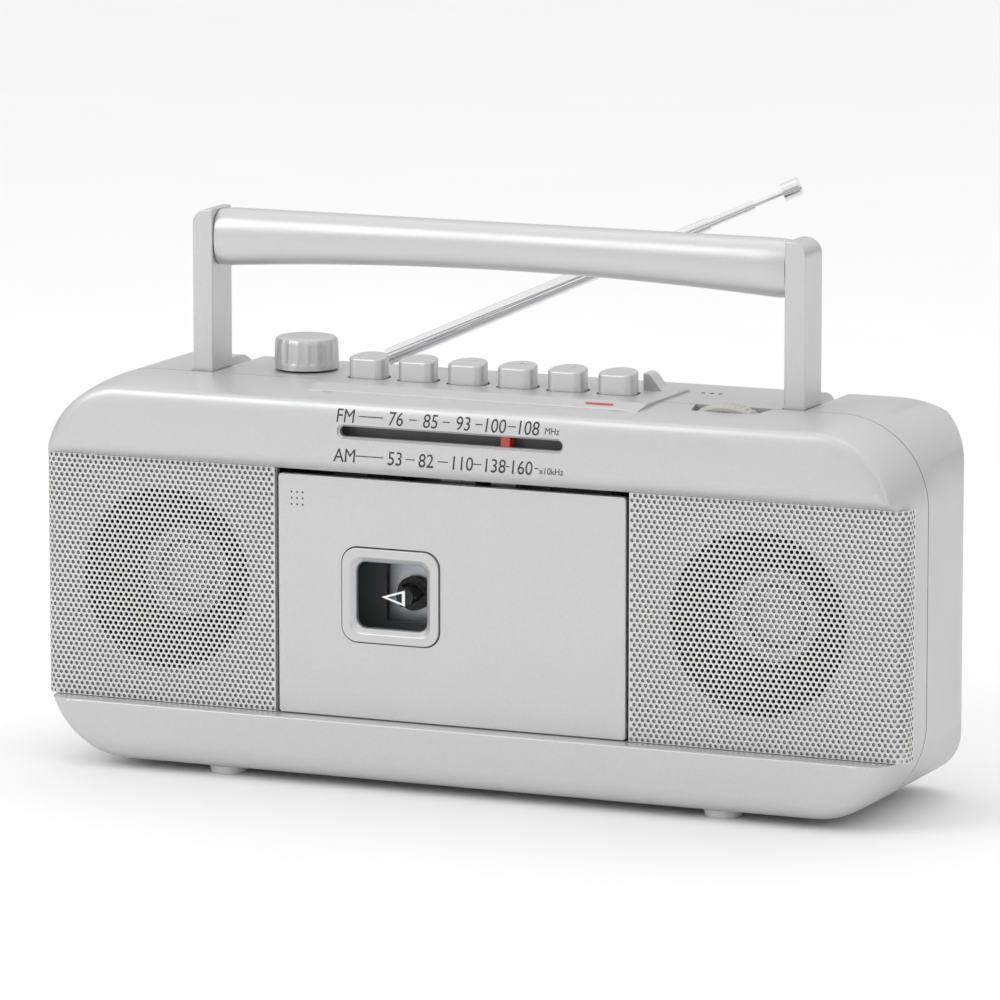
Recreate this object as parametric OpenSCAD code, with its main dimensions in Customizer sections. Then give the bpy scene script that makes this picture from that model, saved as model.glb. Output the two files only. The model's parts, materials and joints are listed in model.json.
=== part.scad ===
// Portable stereo radio cassette recorder, in millimetres.
// X runs across the front, Y from the front to the back, Z up from the table.

/* [Casing] */
// Width of the casing across its two ends
casing_w = 320; // [300:1:384]
// Height of the casing, without its feet
casing_h = 135; // [130:1:165]
// Depth from the nose of the fascia to the back
casing_d = 88; // [86:1:110]
// Radius of the four big corners, seen from the front
corner_r = 31; // [20:1:40]
// Wall thickness of both shells
wall = 2.4; // [1.8:0.1:3]
// Depth of the front shell, from its nose to the seam
front_d = 30.5; // [28:0.5:36]
// Rounding of the front shell's top and bottom edges
front_edge_r = 9; // [6:0.5:12]
// Rounding of the front shell's two ends
front_end_r = 6; // [3:0.5:9]
// Rounding of the rear shell's top edge
rear_edge_r = 17; // [10:0.5:22]
// Rounding of the rear shell's two ends
rear_end_r = 28; // [17:0.5:32]
// Rounding of the rear shell's bottom edge
base_edge_r = 8; // [5:0.5:12]
// How far the door and grilles sit behind the nose
face_set = 7; // [5:0.5:9]
// Height of the lower fascia
lower_fascia_h = 21; // [16:1:26]
// Height of the upper fascia
upper_fascia_h = 27.7; // [24:0.1:32]

/* [Feet] */
// Height of the feet
foot_h = 3; // [2:0.5:6]
// Diameter of the feet
foot_d = 14; // [10:1:18]
// Distance between the left and right feet
foot_span_x = 186; // [150:1:230]
// Distance between the front and rear feet
foot_span_y = 60; // [50:1:66]

/* [Cassette deck] */
// Width of the cassette door
door_w = 130; // [118:1:150]
// Height of the cassette door
door_h = 84; // [82:1:90]
// Thickness of the cassette door's panel
door_t = 2.6; // [2:0.1:3.5]
// Distance of the deck's centre from the casing's centre, to the left
deck_shift = 5.4; // [0:0.1:10]
// Gap between the door and what surrounds it
door_gap = 1; // [0.6:0.1:2]
// Width of a compact cassette
tape_w = 100.4; // [100.4]
// Height of a compact cassette
tape_h = 63.8; // [63.8]
// Thickness of a compact cassette at its open edge
tape_t = 12; // [12]
// Distance between a cassette's two hubs
hub_span = 42.5; // [42.5]
// Height of the hubs above the edge the cassette stands on
hub_h = 29.2; // [29.2]
// Room round the cassette in its pocket
tape_gap = 0.8; // [0.4:0.1:1.5]
// Width of the door's window
window_w = 30; // [24:1:36]
// Height of the door's window
window_h = 27; // [20:1:32]
// Width of the raised frame round the window
window_rim = 3.2; // [2:0.1:5]

/* [Keys] */
// Distance between neighbouring keys
key_pitch = 18.7; // [16:0.1:20]
// Width of a key cap
key_w = 13.2; // [10:0.1:14]
// Depth of a key cap
key_d = 11.6; // [9:0.1:13]
// Height of a key cap above its panel
key_h = 8.2; // [6:0.1:10]
// Travel of a key
key_travel = 5; // [3:0.5:6]
// Clearance round a key cap
key_gap = 0.5; // [0.3:0.1:0.8]
// Height of the key panel above the casing
panel_t = 1.2; // [0.8:0.1:2]

/* [Controls] */
// Diameter of the volume knob
knob_d = 22.6; // [18:0.1:26]
// Height of the volume knob
knob_h = 11.5; // [8:0.5:16]
// Diameter of the tuning wheel
wheel_d = 40; // [34:1:44]
// Thickness of the tuning wheel
wheel_t = 6.5; // [4:0.5:8]
// How far the tuning wheel stands out of the casing
wheel_peek = 2.2; // [2:0.1:4]
// Radius at which the tuning wheel drives the pointer's cord
cord_r = 12; // [10:0.5:15]
// Length of the dial slot
dial_w = 83; // [70:1:90]
// Height of the dial slot
dial_h = 3.6; // [3:0.1:6]

/* [Handle] */
// Distance between the inner faces of the handle's arms
arm_span = 214; // [190:1:230]
// Thickness of an arm
arm_t = 7.6; // [6:0.1:9]
// Depth of an arm, front to back
arm_d = 16; // [13:0.5:18]
// Height of the grip's top above the handle's pivot
handle_rise = 69; // [60:1:80]
// Height of the grip at its ends
grip_h = 20.5; // [17:0.5:24]
// How much thinner the grip is at its middle
grip_waist = 4.1; // [2:0.1:6]
// Clearance round an arm in its slot
arm_gap = 0.7; // [0.5:0.1:1.2]
// Diameter of the handle's pivot pins
pivot_d = 6; // [4:0.5:8]

/* [Antenna] */
// Outer diameters of the antenna's four sections
section_d = [6, 4.6, 3.3, 1.9]; // [1:0.1:8]
// Length of each antenna section
section_l = 98; // [80:1:110]
// How far sections 2, 3 and 4 are drawn out
drawn = [25.5, 17, 11]; // [0:0.5:60]
// Elevation at which the antenna is stored, in degrees
antenna_rise = 23.2; // [0:0.1:60]
// How far the antenna is swung towards the back, in degrees
antenna_swing = 20; // [0:1:90]
// Distance of the antenna's swivel from the casing's centre, to the left
antenna_x = 67.3; // [50:0.1:90]

/* [Speakers] */
// Diameter of a speaker's basket
speaker_d = 77; // [66:1:80]
// Diameter of a speaker's sound opening
sound_d = 64; // [52:1:66]
// Thickness of a grille's sheet
grille_t = 1.2; // [0.8:0.1:2]
// Outer radius of the bend in a grille at the casing's end
grille_bend = 5; // [4:0.5:7]
// How far a grille wraps back round the casing's end
grille_wrap = 8; // [4:0.5:10]

/* [Fits] */
// Radial clearance of a turning shaft or pin in its hole
run_gap = 0.05; // [0.02:0.01:0.1]
// Clearance between pieces that slide or swing past each other
slide_gap = 0.4; // [0.3:0.05:0.6]

/* [Batteries] */
// Number of cells side by side in one row
cells_long = 3; // [3]
// Length of a C cell
cell_l = 50; // [50]
// Diameter of a C cell
cell_d = 26.2; // [26.2]

/* [Hidden] */
$fn = 48;
cut = 1; // how far a cutting shape runs past the face it opens

// Casing planes
nose_y = -casing_d / 2;
back_y = casing_d / 2;
seam_y = nose_y + front_d;
face_y = nose_y + face_set;
base_z = foot_h;
top_z = foot_h + casing_h;
mid_z = foot_h + casing_h / 2;
end_x = casing_w / 2;
recess_z0 = base_z + lower_fascia_h;
recess_z1 = top_z - upper_fascia_h;
baffle_y = face_y + grille_t;
baffle_t = wall;

// Cassette door and pocket
deck_x = -deck_shift;
door_z0 = recess_z0 + 0.3;
door_z1 = door_z0 + door_h;
door_x0 = deck_x - door_w / 2;
door_x1 = deck_x + door_w / 2;
hinge_z = door_z0 + 4.5;
hinge_y = face_y + 4.2;
hinge_d = 2.4;
hinge_lug = 3;
pocket_wall = 1.2;
pocket_y0 = face_y + door_t + 0.6;
pocket_y1 = pocket_y0 + tape_t + tape_gap;
pocket_w = tape_w + 2 * tape_gap;
pocket_z0 = door_z0 + 12.8;
tape_top = pocket_z0 + tape_h;
hub_z = pocket_z0 + hub_h;
takeup_x = deck_x - hub_span / 2;
supply_x = deck_x + hub_span / 2;
window_x = deck_x - 22.2;
window_z = pocket_z0 + 30.5;
chassis_y = pocket_y1 + pocket_wall + 1.4;
chassis_t = 1.2;
chassis_z0 = door_z0 + 6;
chassis_z1 = tape_top + 16;
foot_swing = sqrt(pow(hinge_y - face_y, 2) + pow(hinge_z - door_z0, 2)) + 0.3;
pin_x0 = door_x0 - door_gap - hinge_lug + 0.6;
pin_x1 = door_x1 + door_gap + hinge_lug - 0.6;
ear_d = 7;
ear_x0 = door_x0 - door_gap - 6;
ear_x1 = door_x1 + door_gap + 6;
ear_low_z = chassis_z0 + 1;
ear_top_z = chassis_z1 - 4;

// Tape drive, behind the chassis
capstan_x = deck_x - 28;
capstan_z = tape_top - 6;
capstan_d = 2.2;
roller_d = 13;
fly_y = 4;
fly_t = 5;
fly_d = 40;
motor_x = deck_x + 52;
motor_z = capstan_z - 20;
motor_d = 32;
motor_shaft_d = 2;
pulley_d = 8;
belt_t = 1;

// Keys and their panel
key_names = 6;
key_x0 = -key_pitch * (key_names - 1) / 2 - 1.3;
key_y = seam_y - 0.5;
panel_z = top_z + panel_t;
panel_x0 = key_x0 - key_w / 2 - 5;
panel_x1 = key_x0 + key_pitch * (key_names - 1) + key_w / 2 + 7;
panel_y0 = nose_y + 18;
panel_y1 = key_y + key_d + 7;
key_bottom = top_z - 9;
stem_w = 5;
stem_t = 2;
stem_bottom = key_bottom - 9;
guide_z = key_bottom - key_travel - 2.2;

// Dial, tuning wheel and volume knob
dial_z = top_z - 13.2;
dial_x = -3.2;
pointer_x = 17.3;
pointer_w = 3.4;
wheel_x = 90;
wheel_y = seam_y - wheel_t / 2 - 4;
wheel_z = top_z + wheel_peek - wheel_d / 2;
knob_x = -79.3;
knob_y = 6;
knob_shaft_d = 6;
mic_x = 72;
mic_y = seam_y + 23.5;

// Handle
pivot_y = -4.3;
pivot_z = top_z - 12;
grip_top = pivot_z + handle_rise;
arm_x = arm_span / 2;
slot_w = arm_t + 2 * arm_gap;
well_floor = pivot_z - arm_d / 2 - arm_gap;

// Antenna
antenna_y = back_y - 9;
antenna_z = top_z - 1.5;
shelf_y = antenna_y - section_d[0] / 2 - 2;
shelf_z = antenna_z - section_d[0] / 2 - 1;
swivel_d = 8;
fork_w = 2;
tube_start = 6;

// Speakers
speaker_z = base_z + 65;
speaker_left_x = -114;
speaker_right_x = 107.4;
speaker_y = baffle_y + baffle_t;
speaker_flange = 1.5;
speaker_depth = 17;
cone_r = speaker_d / 2 - 4;
coil_end = speaker_depth + 2;

// Battery compartment
bay_w = cells_long * cell_l + 8;
bay_h = 2 * cell_d + 3;
bay_d = cell_d + 2;
bay_z0 = base_z + 6;
bay_y1 = back_y - wall - 0.6;
bay_y0 = bay_y1 - bay_d;
lid_t = 2;
lid_lap = 3;
lid_pin_d = 2.4;
lid_pin_z = bay_z0 + 1.6;
lid_root = 5; // height of the narrow strip above the battery door's pins

// Circuit board and ferrite rod
board_y = fly_y + fly_t + 5;
board_z1 = top_z - 28;
ferrite_d = 9.5;
ferrite_y = 26;
ferrite_z = top_z - 21;

// Rear fittings
inlet_x = -122;
inlet_z = base_z + 54;
inlet_w = 18;
inlet_h = 9;
jack_x = 124;
jack_z = base_z + 30;
jack_bore = 3.6;
switch_x = 60;
switch_z = base_z + 105;
post_x = 140;
post_top_z = top_z - 22;
post_low_z = base_z + 16;
screw_d = 3;

// ---------------------------------------------------------------- helpers

// A rectangle with four arcs at its corners, centred on the origin
module round_rect(w, h, r) {
    square([w - 2 * r, h], center = true);
    square([w, h - 2 * r], center = true);
    for (sx = [-1, 1], sz = [-1, 1])
        translate([sx * (w / 2 - r), sz * (h / 2 - r)]) circle(r);
}

// What is left over outside the arc of one corner at p; dx and dy point into the shape
module corner_waste(p, dx, dy, r) {
    lo = [min(p[0] - dx * cut, p[0] + dx * r), min(p[1] - dy * cut, p[1] + dy * r)];
    difference() {
        translate(lo) square(r + cut);
        translate([p[0] + dx * r, p[1] + dy * r]) circle(r);
    }
}

// A shape drawn in X and Z, from y0 back to y1
module along_y(y0, y1) {
    translate([0, y1, 0]) rotate([90, 0, 0]) linear_extrude(y1 - y0) children();
}

// A shape drawn in Y and Z, from x0 to x1
module along_x(x0, x1) {
    translate([x0, 0, 0]) rotate([90, 0, 90]) linear_extrude(x1 - x0) children();
}

// A box from its lowest to its highest corner
module span(a, b) {
    translate(a) cube(b - a);
}

// A cylinder along Y, X or Z
module rod_y(p, d, y0, y1) {
    translate([p[0], y1, p[1]]) rotate([90, 0, 0]) cylinder(d = d, h = y1 - y0);
}
module rod_x(p, d, x0, x1) {
    translate([x0, p[0], p[1]]) rotate([0, 90, 0]) cylinder(d = d, h = x1 - x0);
}
module rod_z(p, d, z0, z1) {
    translate([p[0], p[1], z0]) cylinder(d = d, h = z1 - z0);
}

// The whole casing's outer form, or that form drawn in by inset on every side
module casing_form(inset = 0) {
    intersection() {
        translate([0, 0, mid_z]) along_y(nose_y + inset, back_y - inset)
            round_rect(casing_w - 2 * inset, casing_h - 2 * inset, corner_r - inset);
        along_x(-end_x, end_x) difference() {
            translate([nose_y + inset, base_z + inset])
                square([casing_d - 2 * inset, casing_h - 2 * inset]);
            corner_waste([nose_y + inset, top_z - inset], 1, -1, front_edge_r - inset);
            corner_waste([nose_y + inset, base_z + inset], 1, 1, base_edge_r - inset);
            corner_waste([back_y - inset, top_z - inset], -1, -1, rear_edge_r - inset);
            corner_waste([back_y - inset, base_z + inset], -1, 1, base_edge_r - inset);
        }
        translate([0, 0, base_z]) linear_extrude(casing_h) difference() {
            translate([-end_x + inset, nose_y + inset])
                square([casing_w - 2 * inset, casing_d - 2 * inset]);
            for (s = [-1, 1]) {
                corner_waste([s * (end_x - inset), nose_y + inset], -s, 1, front_end_r - inset);
                corner_waste([s * (end_x - inset), back_y - inset], -s, -1, rear_end_r - inset);
            }
        }
    }
}

// Places a child, drawn along +X, on the antenna's axis
module on_antenna(start = 0) {
    translate([-antenna_x, antenna_y, antenna_z])
        rotate([0, -antenna_rise, antenna_swing]) translate([start, 0, 0]) children();
}

// A tube along +X with its bore
module tube(d, bore, l) {
    rotate([0, 90, 0]) difference() {
        cylinder(d = d, h = l);
        translate([0, 0, -cut]) cylinder(d = bore, h = l + 2 * cut);
    }
}

// Outline of a key cap with its flat front at y = 0: a D that bulges to the back
module key_outline(grow = 0) {
    r = key_w / 2;
    translate([-r - grow, -grow]) square([key_w + 2 * grow, key_d - r + grow]);
    translate([0, key_d - r]) circle(r + grow);
}

// Outline of the key panel, with a cut corner at its right end
module panel_outline(grow = 0) {
    polygon([
        [panel_x0 - grow, panel_y0 - grow], [panel_x1 - 6 + grow, panel_y0 - grow],
        [panel_x1 + grow, panel_y0 + 14], [panel_x1 + grow, panel_y1 + grow],
        [panel_x0 - grow, panel_y1 + grow]
    ]);
}

// ---------------------------------------------------------------- casing

module front_casing() {
    color([0.8, 0.8, 0.81]) difference() {
        union() {
            difference() {
                intersection() {
                    casing_form();
                    span([-end_x, nose_y, base_z], [end_x, seam_y, top_z]);
                }
                // the main hollow, behind the baffle
                intersection() {
                    casing_form(wall);
                    span([-end_x, baffle_y + baffle_t, base_z], [end_x, seam_y + cut, top_z]);
                }
                // the hollow noses of the two fascias
                intersection() {
                    casing_form(wall);
                    union() {
                        span([-end_x, nose_y, recess_z1 + wall], [end_x, seam_y + cut, top_z]);
                        span([-end_x, nose_y, base_z], [end_x, seam_y + cut, recess_z0 - wall]);
                    }
                }
                // the recess that holds the door and the grilles
                span([-end_x - cut, nose_y - cut, recess_z0], [end_x + cut, baffle_y, recess_z1]);
                // the baffle's rounded ends, under the bends of the grilles
                for (s = [-1, 1]) translate([0, 0, recess_z0]) linear_extrude(recess_z1 - recess_z0)
                    corner_waste([s * end_x, baffle_y], -s, 1, grille_bend - grille_t);
            }
            for (s = [-1, 1], z = [post_low_z, post_top_z])
                rod_y([s * post_x, z], 8, baffle_y + baffle_t - 0.2, seam_y);
            // bearings for the door's hinge pins, beside the opening
            for (x = [door_x0 - door_gap - hinge_lug, door_x1 + door_gap])
                span([x, baffle_y, recess_z0 - 1], [x + hinge_lug, hinge_y + hinge_lug, hinge_z + hinge_lug]);
            // posts that carry the deck's chassis
            for (x = [ear_x0, ear_x1], z = [ear_low_z, ear_top_z])
                rod_y([x, z], ear_d, baffle_y + baffle_t - 0.2, chassis_y);
        }
        // opening for the cassette door and its holder, and room for the door's foot to swing
        span([door_x0 - door_gap, face_y - cut, recess_z0],
             [door_x1 + door_gap, baffle_y + 4, recess_z1]);
        span([door_x0 - door_gap, face_y - 1.2, hinge_z - foot_swing],
             [door_x1 + door_gap, hinge_y + 3, recess_z0 + cut]);
        // sound openings
        for (x = [speaker_left_x, speaker_right_x])
            rod_y([x, speaker_z], sound_d, face_y - cut, speaker_y + cut);
        // dial slot
        translate([dial_x, 0, dial_z]) along_y(nose_y - cut, nose_y + wall + 2)
            round_rect(dial_w, dial_h, 0.45 * dial_h);
        // slot for the tuning wheel
        span([wheel_x - 15, wheel_y - wheel_t / 2 - slide_gap, top_z - 4 - wall],
             [wheel_x + 15, wheel_y + wheel_t / 2 + slide_gap, top_z + cut]);
        // opening under the key panel
        span([panel_x0 + 3, key_y - 2, top_z - 12], [panel_x1 - 3, seam_y + cut, top_z + cut]);
        // pin and screw holes
        rod_x([hinge_y, hinge_z], hinge_d, pin_x0, pin_x1);
        for (s = [-1, 1], z = [post_low_z, post_top_z])
            rod_y([s * post_x, z], screw_d + 2 * run_gap, seam_y - 10, seam_y + cut);
    }
}

module rear_casing() {
    color([0.78, 0.78, 0.79]) difference() {
        union() {
            difference() {
                intersection() {
                    casing_form();
                    span([-end_x, seam_y, base_z], [end_x, back_y, top_z]);
                }
                intersection() {
                    casing_form(wall);
                    span([-end_x, seam_y - cut, base_z], [end_x, back_y, top_z]);
                }
            }
            // wells that the handle's arms stand and fold in
            intersection() {
                casing_form();
                for (s = [-1, 1])
                    translate([s * (arm_x + arm_t / 2), 0, 0])
                        span([-slot_w / 2 - wall, max(seam_y, pivot_y - arm_d / 2 - arm_gap - wall),
                              well_floor - wall],
                             [slot_w / 2 + wall, back_y, top_z]);
            }
            // battery compartment
            span([-bay_w / 2 - wall, bay_y0 - wall, bay_z0 - wall],
                 [bay_w / 2 + wall, back_y - 0.5, bay_z0 + bay_h + wall]);
            // shelf and socket for the antenna
            intersection() {
                casing_form();
                union() {
                    span([-antenna_x - 10, shelf_y - wall, shelf_z - wall], [60, back_y, top_z]);
                    rod_z([-antenna_x, antenna_y], swivel_d + 6, shelf_z - 11, shelf_z);
                }
            }
            // posts for the casing screws
            intersection() {
                casing_form();
                for (s = [-1, 1], z = [post_low_z, post_top_z])
                    rod_y([s * post_x, z], 9, seam_y, back_y - 1);
            }
        }
        for (s = [-1, 1])
            translate([s * (arm_x + arm_t / 2), 0, 0])
                span([-slot_w / 2, pivot_y - arm_d / 2 - arm_gap, well_floor],
                     [slot_w / 2, back_y + cut, top_z + cut]);
        for (s = [-1, 1])
            rod_x([pivot_y, pivot_z], pivot_d, s * (arm_x + arm_t / 2) - slot_w / 2 - wall + 0.6,
                  s * (arm_x + arm_t / 2) + slot_w / 2 + wall - 0.6);
        // the compartment, its mouth, the rebate for its door and the hinge groove
        span([-bay_w / 2, bay_y0, bay_z0], [bay_w / 2, back_y + cut, bay_z0 + bay_h]);
        span([-bay_w / 2 - lid_lap - 0.3, back_y - lid_t - 0.3, bay_z0 + lid_root - 1],
             [bay_w / 2 + lid_lap + 0.3, back_y + cut, bay_z0 + bay_h + lid_lap + 0.3]);
        span([-bay_w / 2, back_y - 2 * lid_t - 1, bay_z0 - 1.3], [bay_w / 2, back_y + cut, bay_z0 + cut]);
        rod_x([back_y - lid_t, lid_pin_z], lid_pin_d + 2 * run_gap,
              -bay_w / 2 - 1.9, bay_w / 2 + 1.9);
        // antenna shelf, with the swivel's socket
        span([-antenna_x - 8, shelf_y, shelf_z], [58, back_y + cut, top_z + cut]);
        rod_z([-antenna_x, antenna_y], swivel_d + 2 * run_gap, shelf_z - 9, shelf_z + cut);
        // opening under the key panel
        span([panel_x0 + 3, seam_y - cut, top_z - 12], [panel_x1 - 3, panel_y1 - 3, top_z + cut]);
        // volume control's bush, microphone hole
        rod_z([knob_x, knob_y], 9, top_z - 4, top_z + cut);
        for (i = [-1, 0, 1])
            rod_z([mic_x + 3.2 * i, mic_y], 1.6, top_z - wall - cut, top_z + cut);
        // rear fittings
        span([inlet_x - inlet_w / 2 - 0.3, back_y - wall - cut, inlet_z - inlet_h / 2 - 0.3],
             [inlet_x + inlet_w / 2 + 0.3, back_y + cut, inlet_z + inlet_h / 2 + 0.3]);
        rod_y([jack_x, jack_z], 8.4, back_y - wall - cut, back_y + cut);
        span([switch_x - 9, back_y - wall - cut, switch_z - 2], [switch_x + 9, back_y + cut, switch_z + 2]);
        // screw holes: a deep counterbore, then the shank
        for (s = [-1, 1], z = [post_low_z, post_top_z]) {
            rod_y([s * post_x, z], 6.6, seam_y + 4, back_y + cut);
            rod_y([s * post_x, z], screw_d + 2 * run_gap, seam_y - cut, seam_y + 5);
        }
    }
}

module feet() {
    color([0.72, 0.72, 0.73]) for (sx = [-1, 1], y = [-1, 1])
        translate([sx * foot_span_x / 2, y * foot_span_y / 2, 0]) difference() {
            cylinder(d1 = foot_d - 1.4, d2 = foot_d, h = foot_h);
            translate([0, 0, foot_h - 1]) cylinder(d = 3, h = 2);
        }
}

module casing_screws() {
    color([0.55, 0.55, 0.57]) for (s = [-1, 1], z = [post_low_z, post_top_z]) {
        rod_y([s * post_x, z], screw_d, seam_y - 9, seam_y + 4.5);
        difference() {
            rod_y([s * post_x, z], 5.6, seam_y + 4.05, seam_y + 6.2);
            span([s * post_x - 1.8, seam_y + 5.2, z - 0.4], [s * post_x + 1.8, seam_y + 7, z + 0.4]);
            span([s * post_x - 0.4, seam_y + 5.2, z - 1.8], [s * post_x + 0.4, seam_y + 7, z + 1.8]);
        }
    }
}

// ---------------------------------------------------------------- top controls

module key_panel() {
    color([0.83, 0.83, 0.84]) difference() {
        translate([0, 0, top_z]) linear_extrude(panel_t) panel_outline();
        for (i = [0:key_names - 1])
            translate([key_x0 + i * key_pitch, key_y, top_z - cut])
                linear_extrude(panel_t + 2 * cut) key_outline(key_gap);
    }
}

// One key: a domed D-shaped cap on a flat stem
module key(i) {
    translate([key_x0 + i * key_pitch, key_y, 0]) {
        difference() {
            translate([0, 0, key_bottom]) linear_extrude(panel_z + key_h - key_bottom) key_outline();
            translate([-key_w, 0, panel_z + key_h - 1.2]) rotate([5.8, 0, 0])
                translate([0, -5, 0]) cube([2 * key_w, key_d + 10, 5]);
            translate([0, key_d / 2, key_bottom - cut])
                linear_extrude(7) square([key_w - 3, key_d - 5], center = true);
        }
        translate([-stem_w / 2, key_d / 2 - stem_t / 2, stem_bottom])
            cube([stem_w, stem_t, panel_z + 2 - stem_bottom]);
    }
}
module pause_key() { color([0.85, 0.85, 0.86]) key(0); }
module stop_eject_key() { color([0.85, 0.85, 0.86]) key(1); }
module forward_key() { color([0.85, 0.85, 0.86]) key(2); }
module rewind_key() { color([0.85, 0.85, 0.86]) key(3); }
module play_key() { color([0.85, 0.85, 0.86]) key(4); }
module record_key() { color([0.85, 0.85, 0.86]) key(5); }

// The plate that guides the keys' stems, carried on two legs from the chassis
module key_frame() {
    color([0.6, 0.6, 0.62]) difference() {
        union() {
            span([panel_x0 + 5, chassis_y + chassis_t, guide_z - 1.5],
                 [panel_x1 - 10, key_y + key_d + 3, guide_z]);
            for (x = [panel_x0 + 5, panel_x1 - 14])
                span([x, chassis_y + chassis_t, chassis_z1 - 12],
                     [x + 4, chassis_y + chassis_t + 1.5, guide_z]);
        }
        for (i = [0:key_names - 1])
            translate([key_x0 + i * key_pitch, key_y + key_d / 2, guide_z])
                cube([stem_w + 2 * slide_gap, stem_t + 2 * slide_gap, 8], center = true);
    }
}

module volume_knob() {
    flutes = 20;
    color([0.8, 0.8, 0.81]) translate([knob_x, knob_y, top_z + 0.5]) difference() {
        union() {
            cylinder(d = knob_d, h = knob_h - 1.5);
            translate([0, 0, knob_h - 1.5 - 0.01])
                cylinder(d1 = knob_d, d2 = knob_d - 3, h = 1.51);
        }
        for (i = [0:flutes - 1])
            rotate([0, 0, i * 360 / flutes]) translate([knob_d / 2 + 0.7, 0, 2.5])
                cylinder(r = 1.1, h = knob_h);
        translate([0, 0, -cut]) cylinder(d = knob_shaft_d + 2 * run_gap, h = knob_h - 2);
    }
}

// Potentiometer with its shaft, under the volume knob
module volume_control() {
    color([0.62, 0.62, 0.6]) {
        rod_z([knob_x, knob_y], knob_shaft_d, top_z - 8, top_z + knob_h - 3);
        rod_z([knob_x, knob_y], 8, top_z - 8, top_z - 0.5);
        rod_z([knob_x, knob_y], 17, top_z - 16, top_z - 6);
        span([knob_x - 8, knob_y + 4, top_z - 15], [knob_x + 8, knob_y + 13, top_z - 13.5]);
    }
}

module tuning_wheel() {
    ribs = 60;
    color([0.82, 0.81, 0.76]) difference() {
        rod_y([wheel_x, wheel_z], wheel_d, wheel_y - wheel_t / 2, wheel_y + wheel_t / 2);
        for (i = [0:ribs - 1])
            translate([wheel_x, wheel_y, wheel_z]) rotate([0, i * 360 / ribs, 0])
                translate([wheel_d / 2, 0, 0]) rotate([90, 45, 0])
                    cube([0.8, 0.8, wheel_t + cut], center = true);
        rod_y([wheel_x, wheel_z], 6 + 2 * run_gap, wheel_y - wheel_t, wheel_y + wheel_t);
        difference() {
            rod_y([wheel_x, wheel_z], wheel_d - 8, wheel_y - wheel_t, wheel_y - 1);
            rod_y([wheel_x, wheel_z], 2 * cord_r, wheel_y - wheel_t, wheel_y);
        }
    }
}

module tuning_capacitor() {
    color([0.75, 0.72, 0.66]) {
        rod_y([wheel_x, wheel_z], 6, wheel_y - wheel_t / 2 - 1, seam_y + 4);
        span([wheel_x - 10, seam_y + 3, wheel_z - 10], [wheel_x + 10, seam_y + 15, wheel_z + 10]);
        // bracket to the circuit board
        span([wheel_x - 8, seam_y + 14, board_z1 - 2], [wheel_x - 4, board_y, wheel_z - 6]);
    }
}

module dial_backplate() {
    color([0.35, 0.35, 0.36])
        union() {
            span([dial_x - dial_w / 2 - 6, nose_y + wall + 5, dial_z - 5],
                 [dial_x + dial_w / 2 + 6, nose_y + wall + 6, dial_z + 4]);
            for (s = [-1, 1])
                rod_y([dial_x + s * (dial_w / 2 + 3), dial_z], 3, nose_y + wall, nose_y + wall + 5.5);
        }
}

module dial_pointer() {
    color([0.75, 0.15, 0.15]) {
        span([pointer_x - pointer_w / 2, nose_y + wall + 2.6, dial_z - 6.8],
             [pointer_x + pointer_w / 2, nose_y + wall + 3.8, dial_z + 3.2]);
        span([pointer_x - pointer_w / 2, nose_y + wall + 2.6, dial_z - 6.8],
             [pointer_x + pointer_w / 2, nose_y + wall + 8.4, dial_z - 5.6]);
    }
}

// ---------------------------------------------------------------- handle

// One arm: a flat bar, round at the pivot and at its outer top corner
module arm(s) {
    x0 = s > 0 ? arm_x : -arm_x - arm_t;
    outer = s > 0 ? x0 + arm_t : x0;
    top_r = arm_t - 0.6;
    difference() {
        intersection() {
            union() {
                rod_x([pivot_y, pivot_z], arm_d, x0, x0 + arm_t);
                span([x0, pivot_y - arm_d / 2, pivot_z], [x0 + arm_t, pivot_y + arm_d / 2, grip_top]);
            }
            along_y(-arm_d, arm_d) difference() {
                translate([x0, pivot_z - arm_d]) square([arm_t, handle_rise + arm_d]);
                corner_waste([outer, grip_top], -s, -1, top_r);
            }
        }
        rod_x([pivot_y, pivot_z], pivot_d + 2 * run_gap, x0 - cut, x0 + arm_t + cut);
    }
}
module handle_arm_left() { color([0.84, 0.84, 0.85]) arm(-1); }
module handle_arm_right() { color([0.84, 0.84, 0.85]) arm(1); }

// The grip: level on top, arched underneath
module handle_grip() {
    steps = 16;
    low = grip_top - grip_h;
    color([0.78, 0.78, 0.79]) intersection() {
        along_x(-arm_x, arm_x) translate([pivot_y, grip_top - grip_h / 2])
            round_rect(arm_d, grip_h, arm_d * 0.42);
        along_y(-arm_d, arm_d) polygon([
            for (i = [-steps:steps])
                [arm_x * i / steps, low + grip_waist * (1 - pow(i / steps, 2))],
            [arm_x, grip_top + cut], [-arm_x, grip_top + cut]
        ]);
    }
}

module handle_pivots() {
    color([0.5, 0.5, 0.52]) for (s = [-1, 1])
        rod_x([pivot_y, pivot_z], pivot_d, s * (arm_x + arm_t / 2) - slot_w / 2 - wall + 0.6,
              s * (arm_x + arm_t / 2) + slot_w / 2 + wall - 0.6);
}

// ---------------------------------------------------------------- antenna

module antenna_swivel() {
    ear_z = antenna_z + 2.4;
    color([0.75, 0.75, 0.77]) translate([-antenna_x, antenna_y, 0]) rotate([0, 0, antenna_swing])
        difference() {
            union() {
                translate([0, 0, shelf_z - 8.5]) cylinder(d = swivel_d, h = 8.9);
                intersection() {
                    translate([0, 0, shelf_z]) cylinder(d = swivel_d, h = 8);
                    union() {
                        span([-4, -swivel_d, shelf_z], [4, swivel_d, antenna_z]);
                        swivel_ears(antenna_z);
                    }
                }
            }
            span([-swivel_d, -fork_w, shelf_z + 0.4], [swivel_d, fork_w, ear_z + 9]);
            rotate([90, 0, 0]) translate([0, antenna_z, 0])
                cylinder(d = 1.6 + 2 * run_gap, h = 3 * swivel_d, center = true);
        }
}

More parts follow.
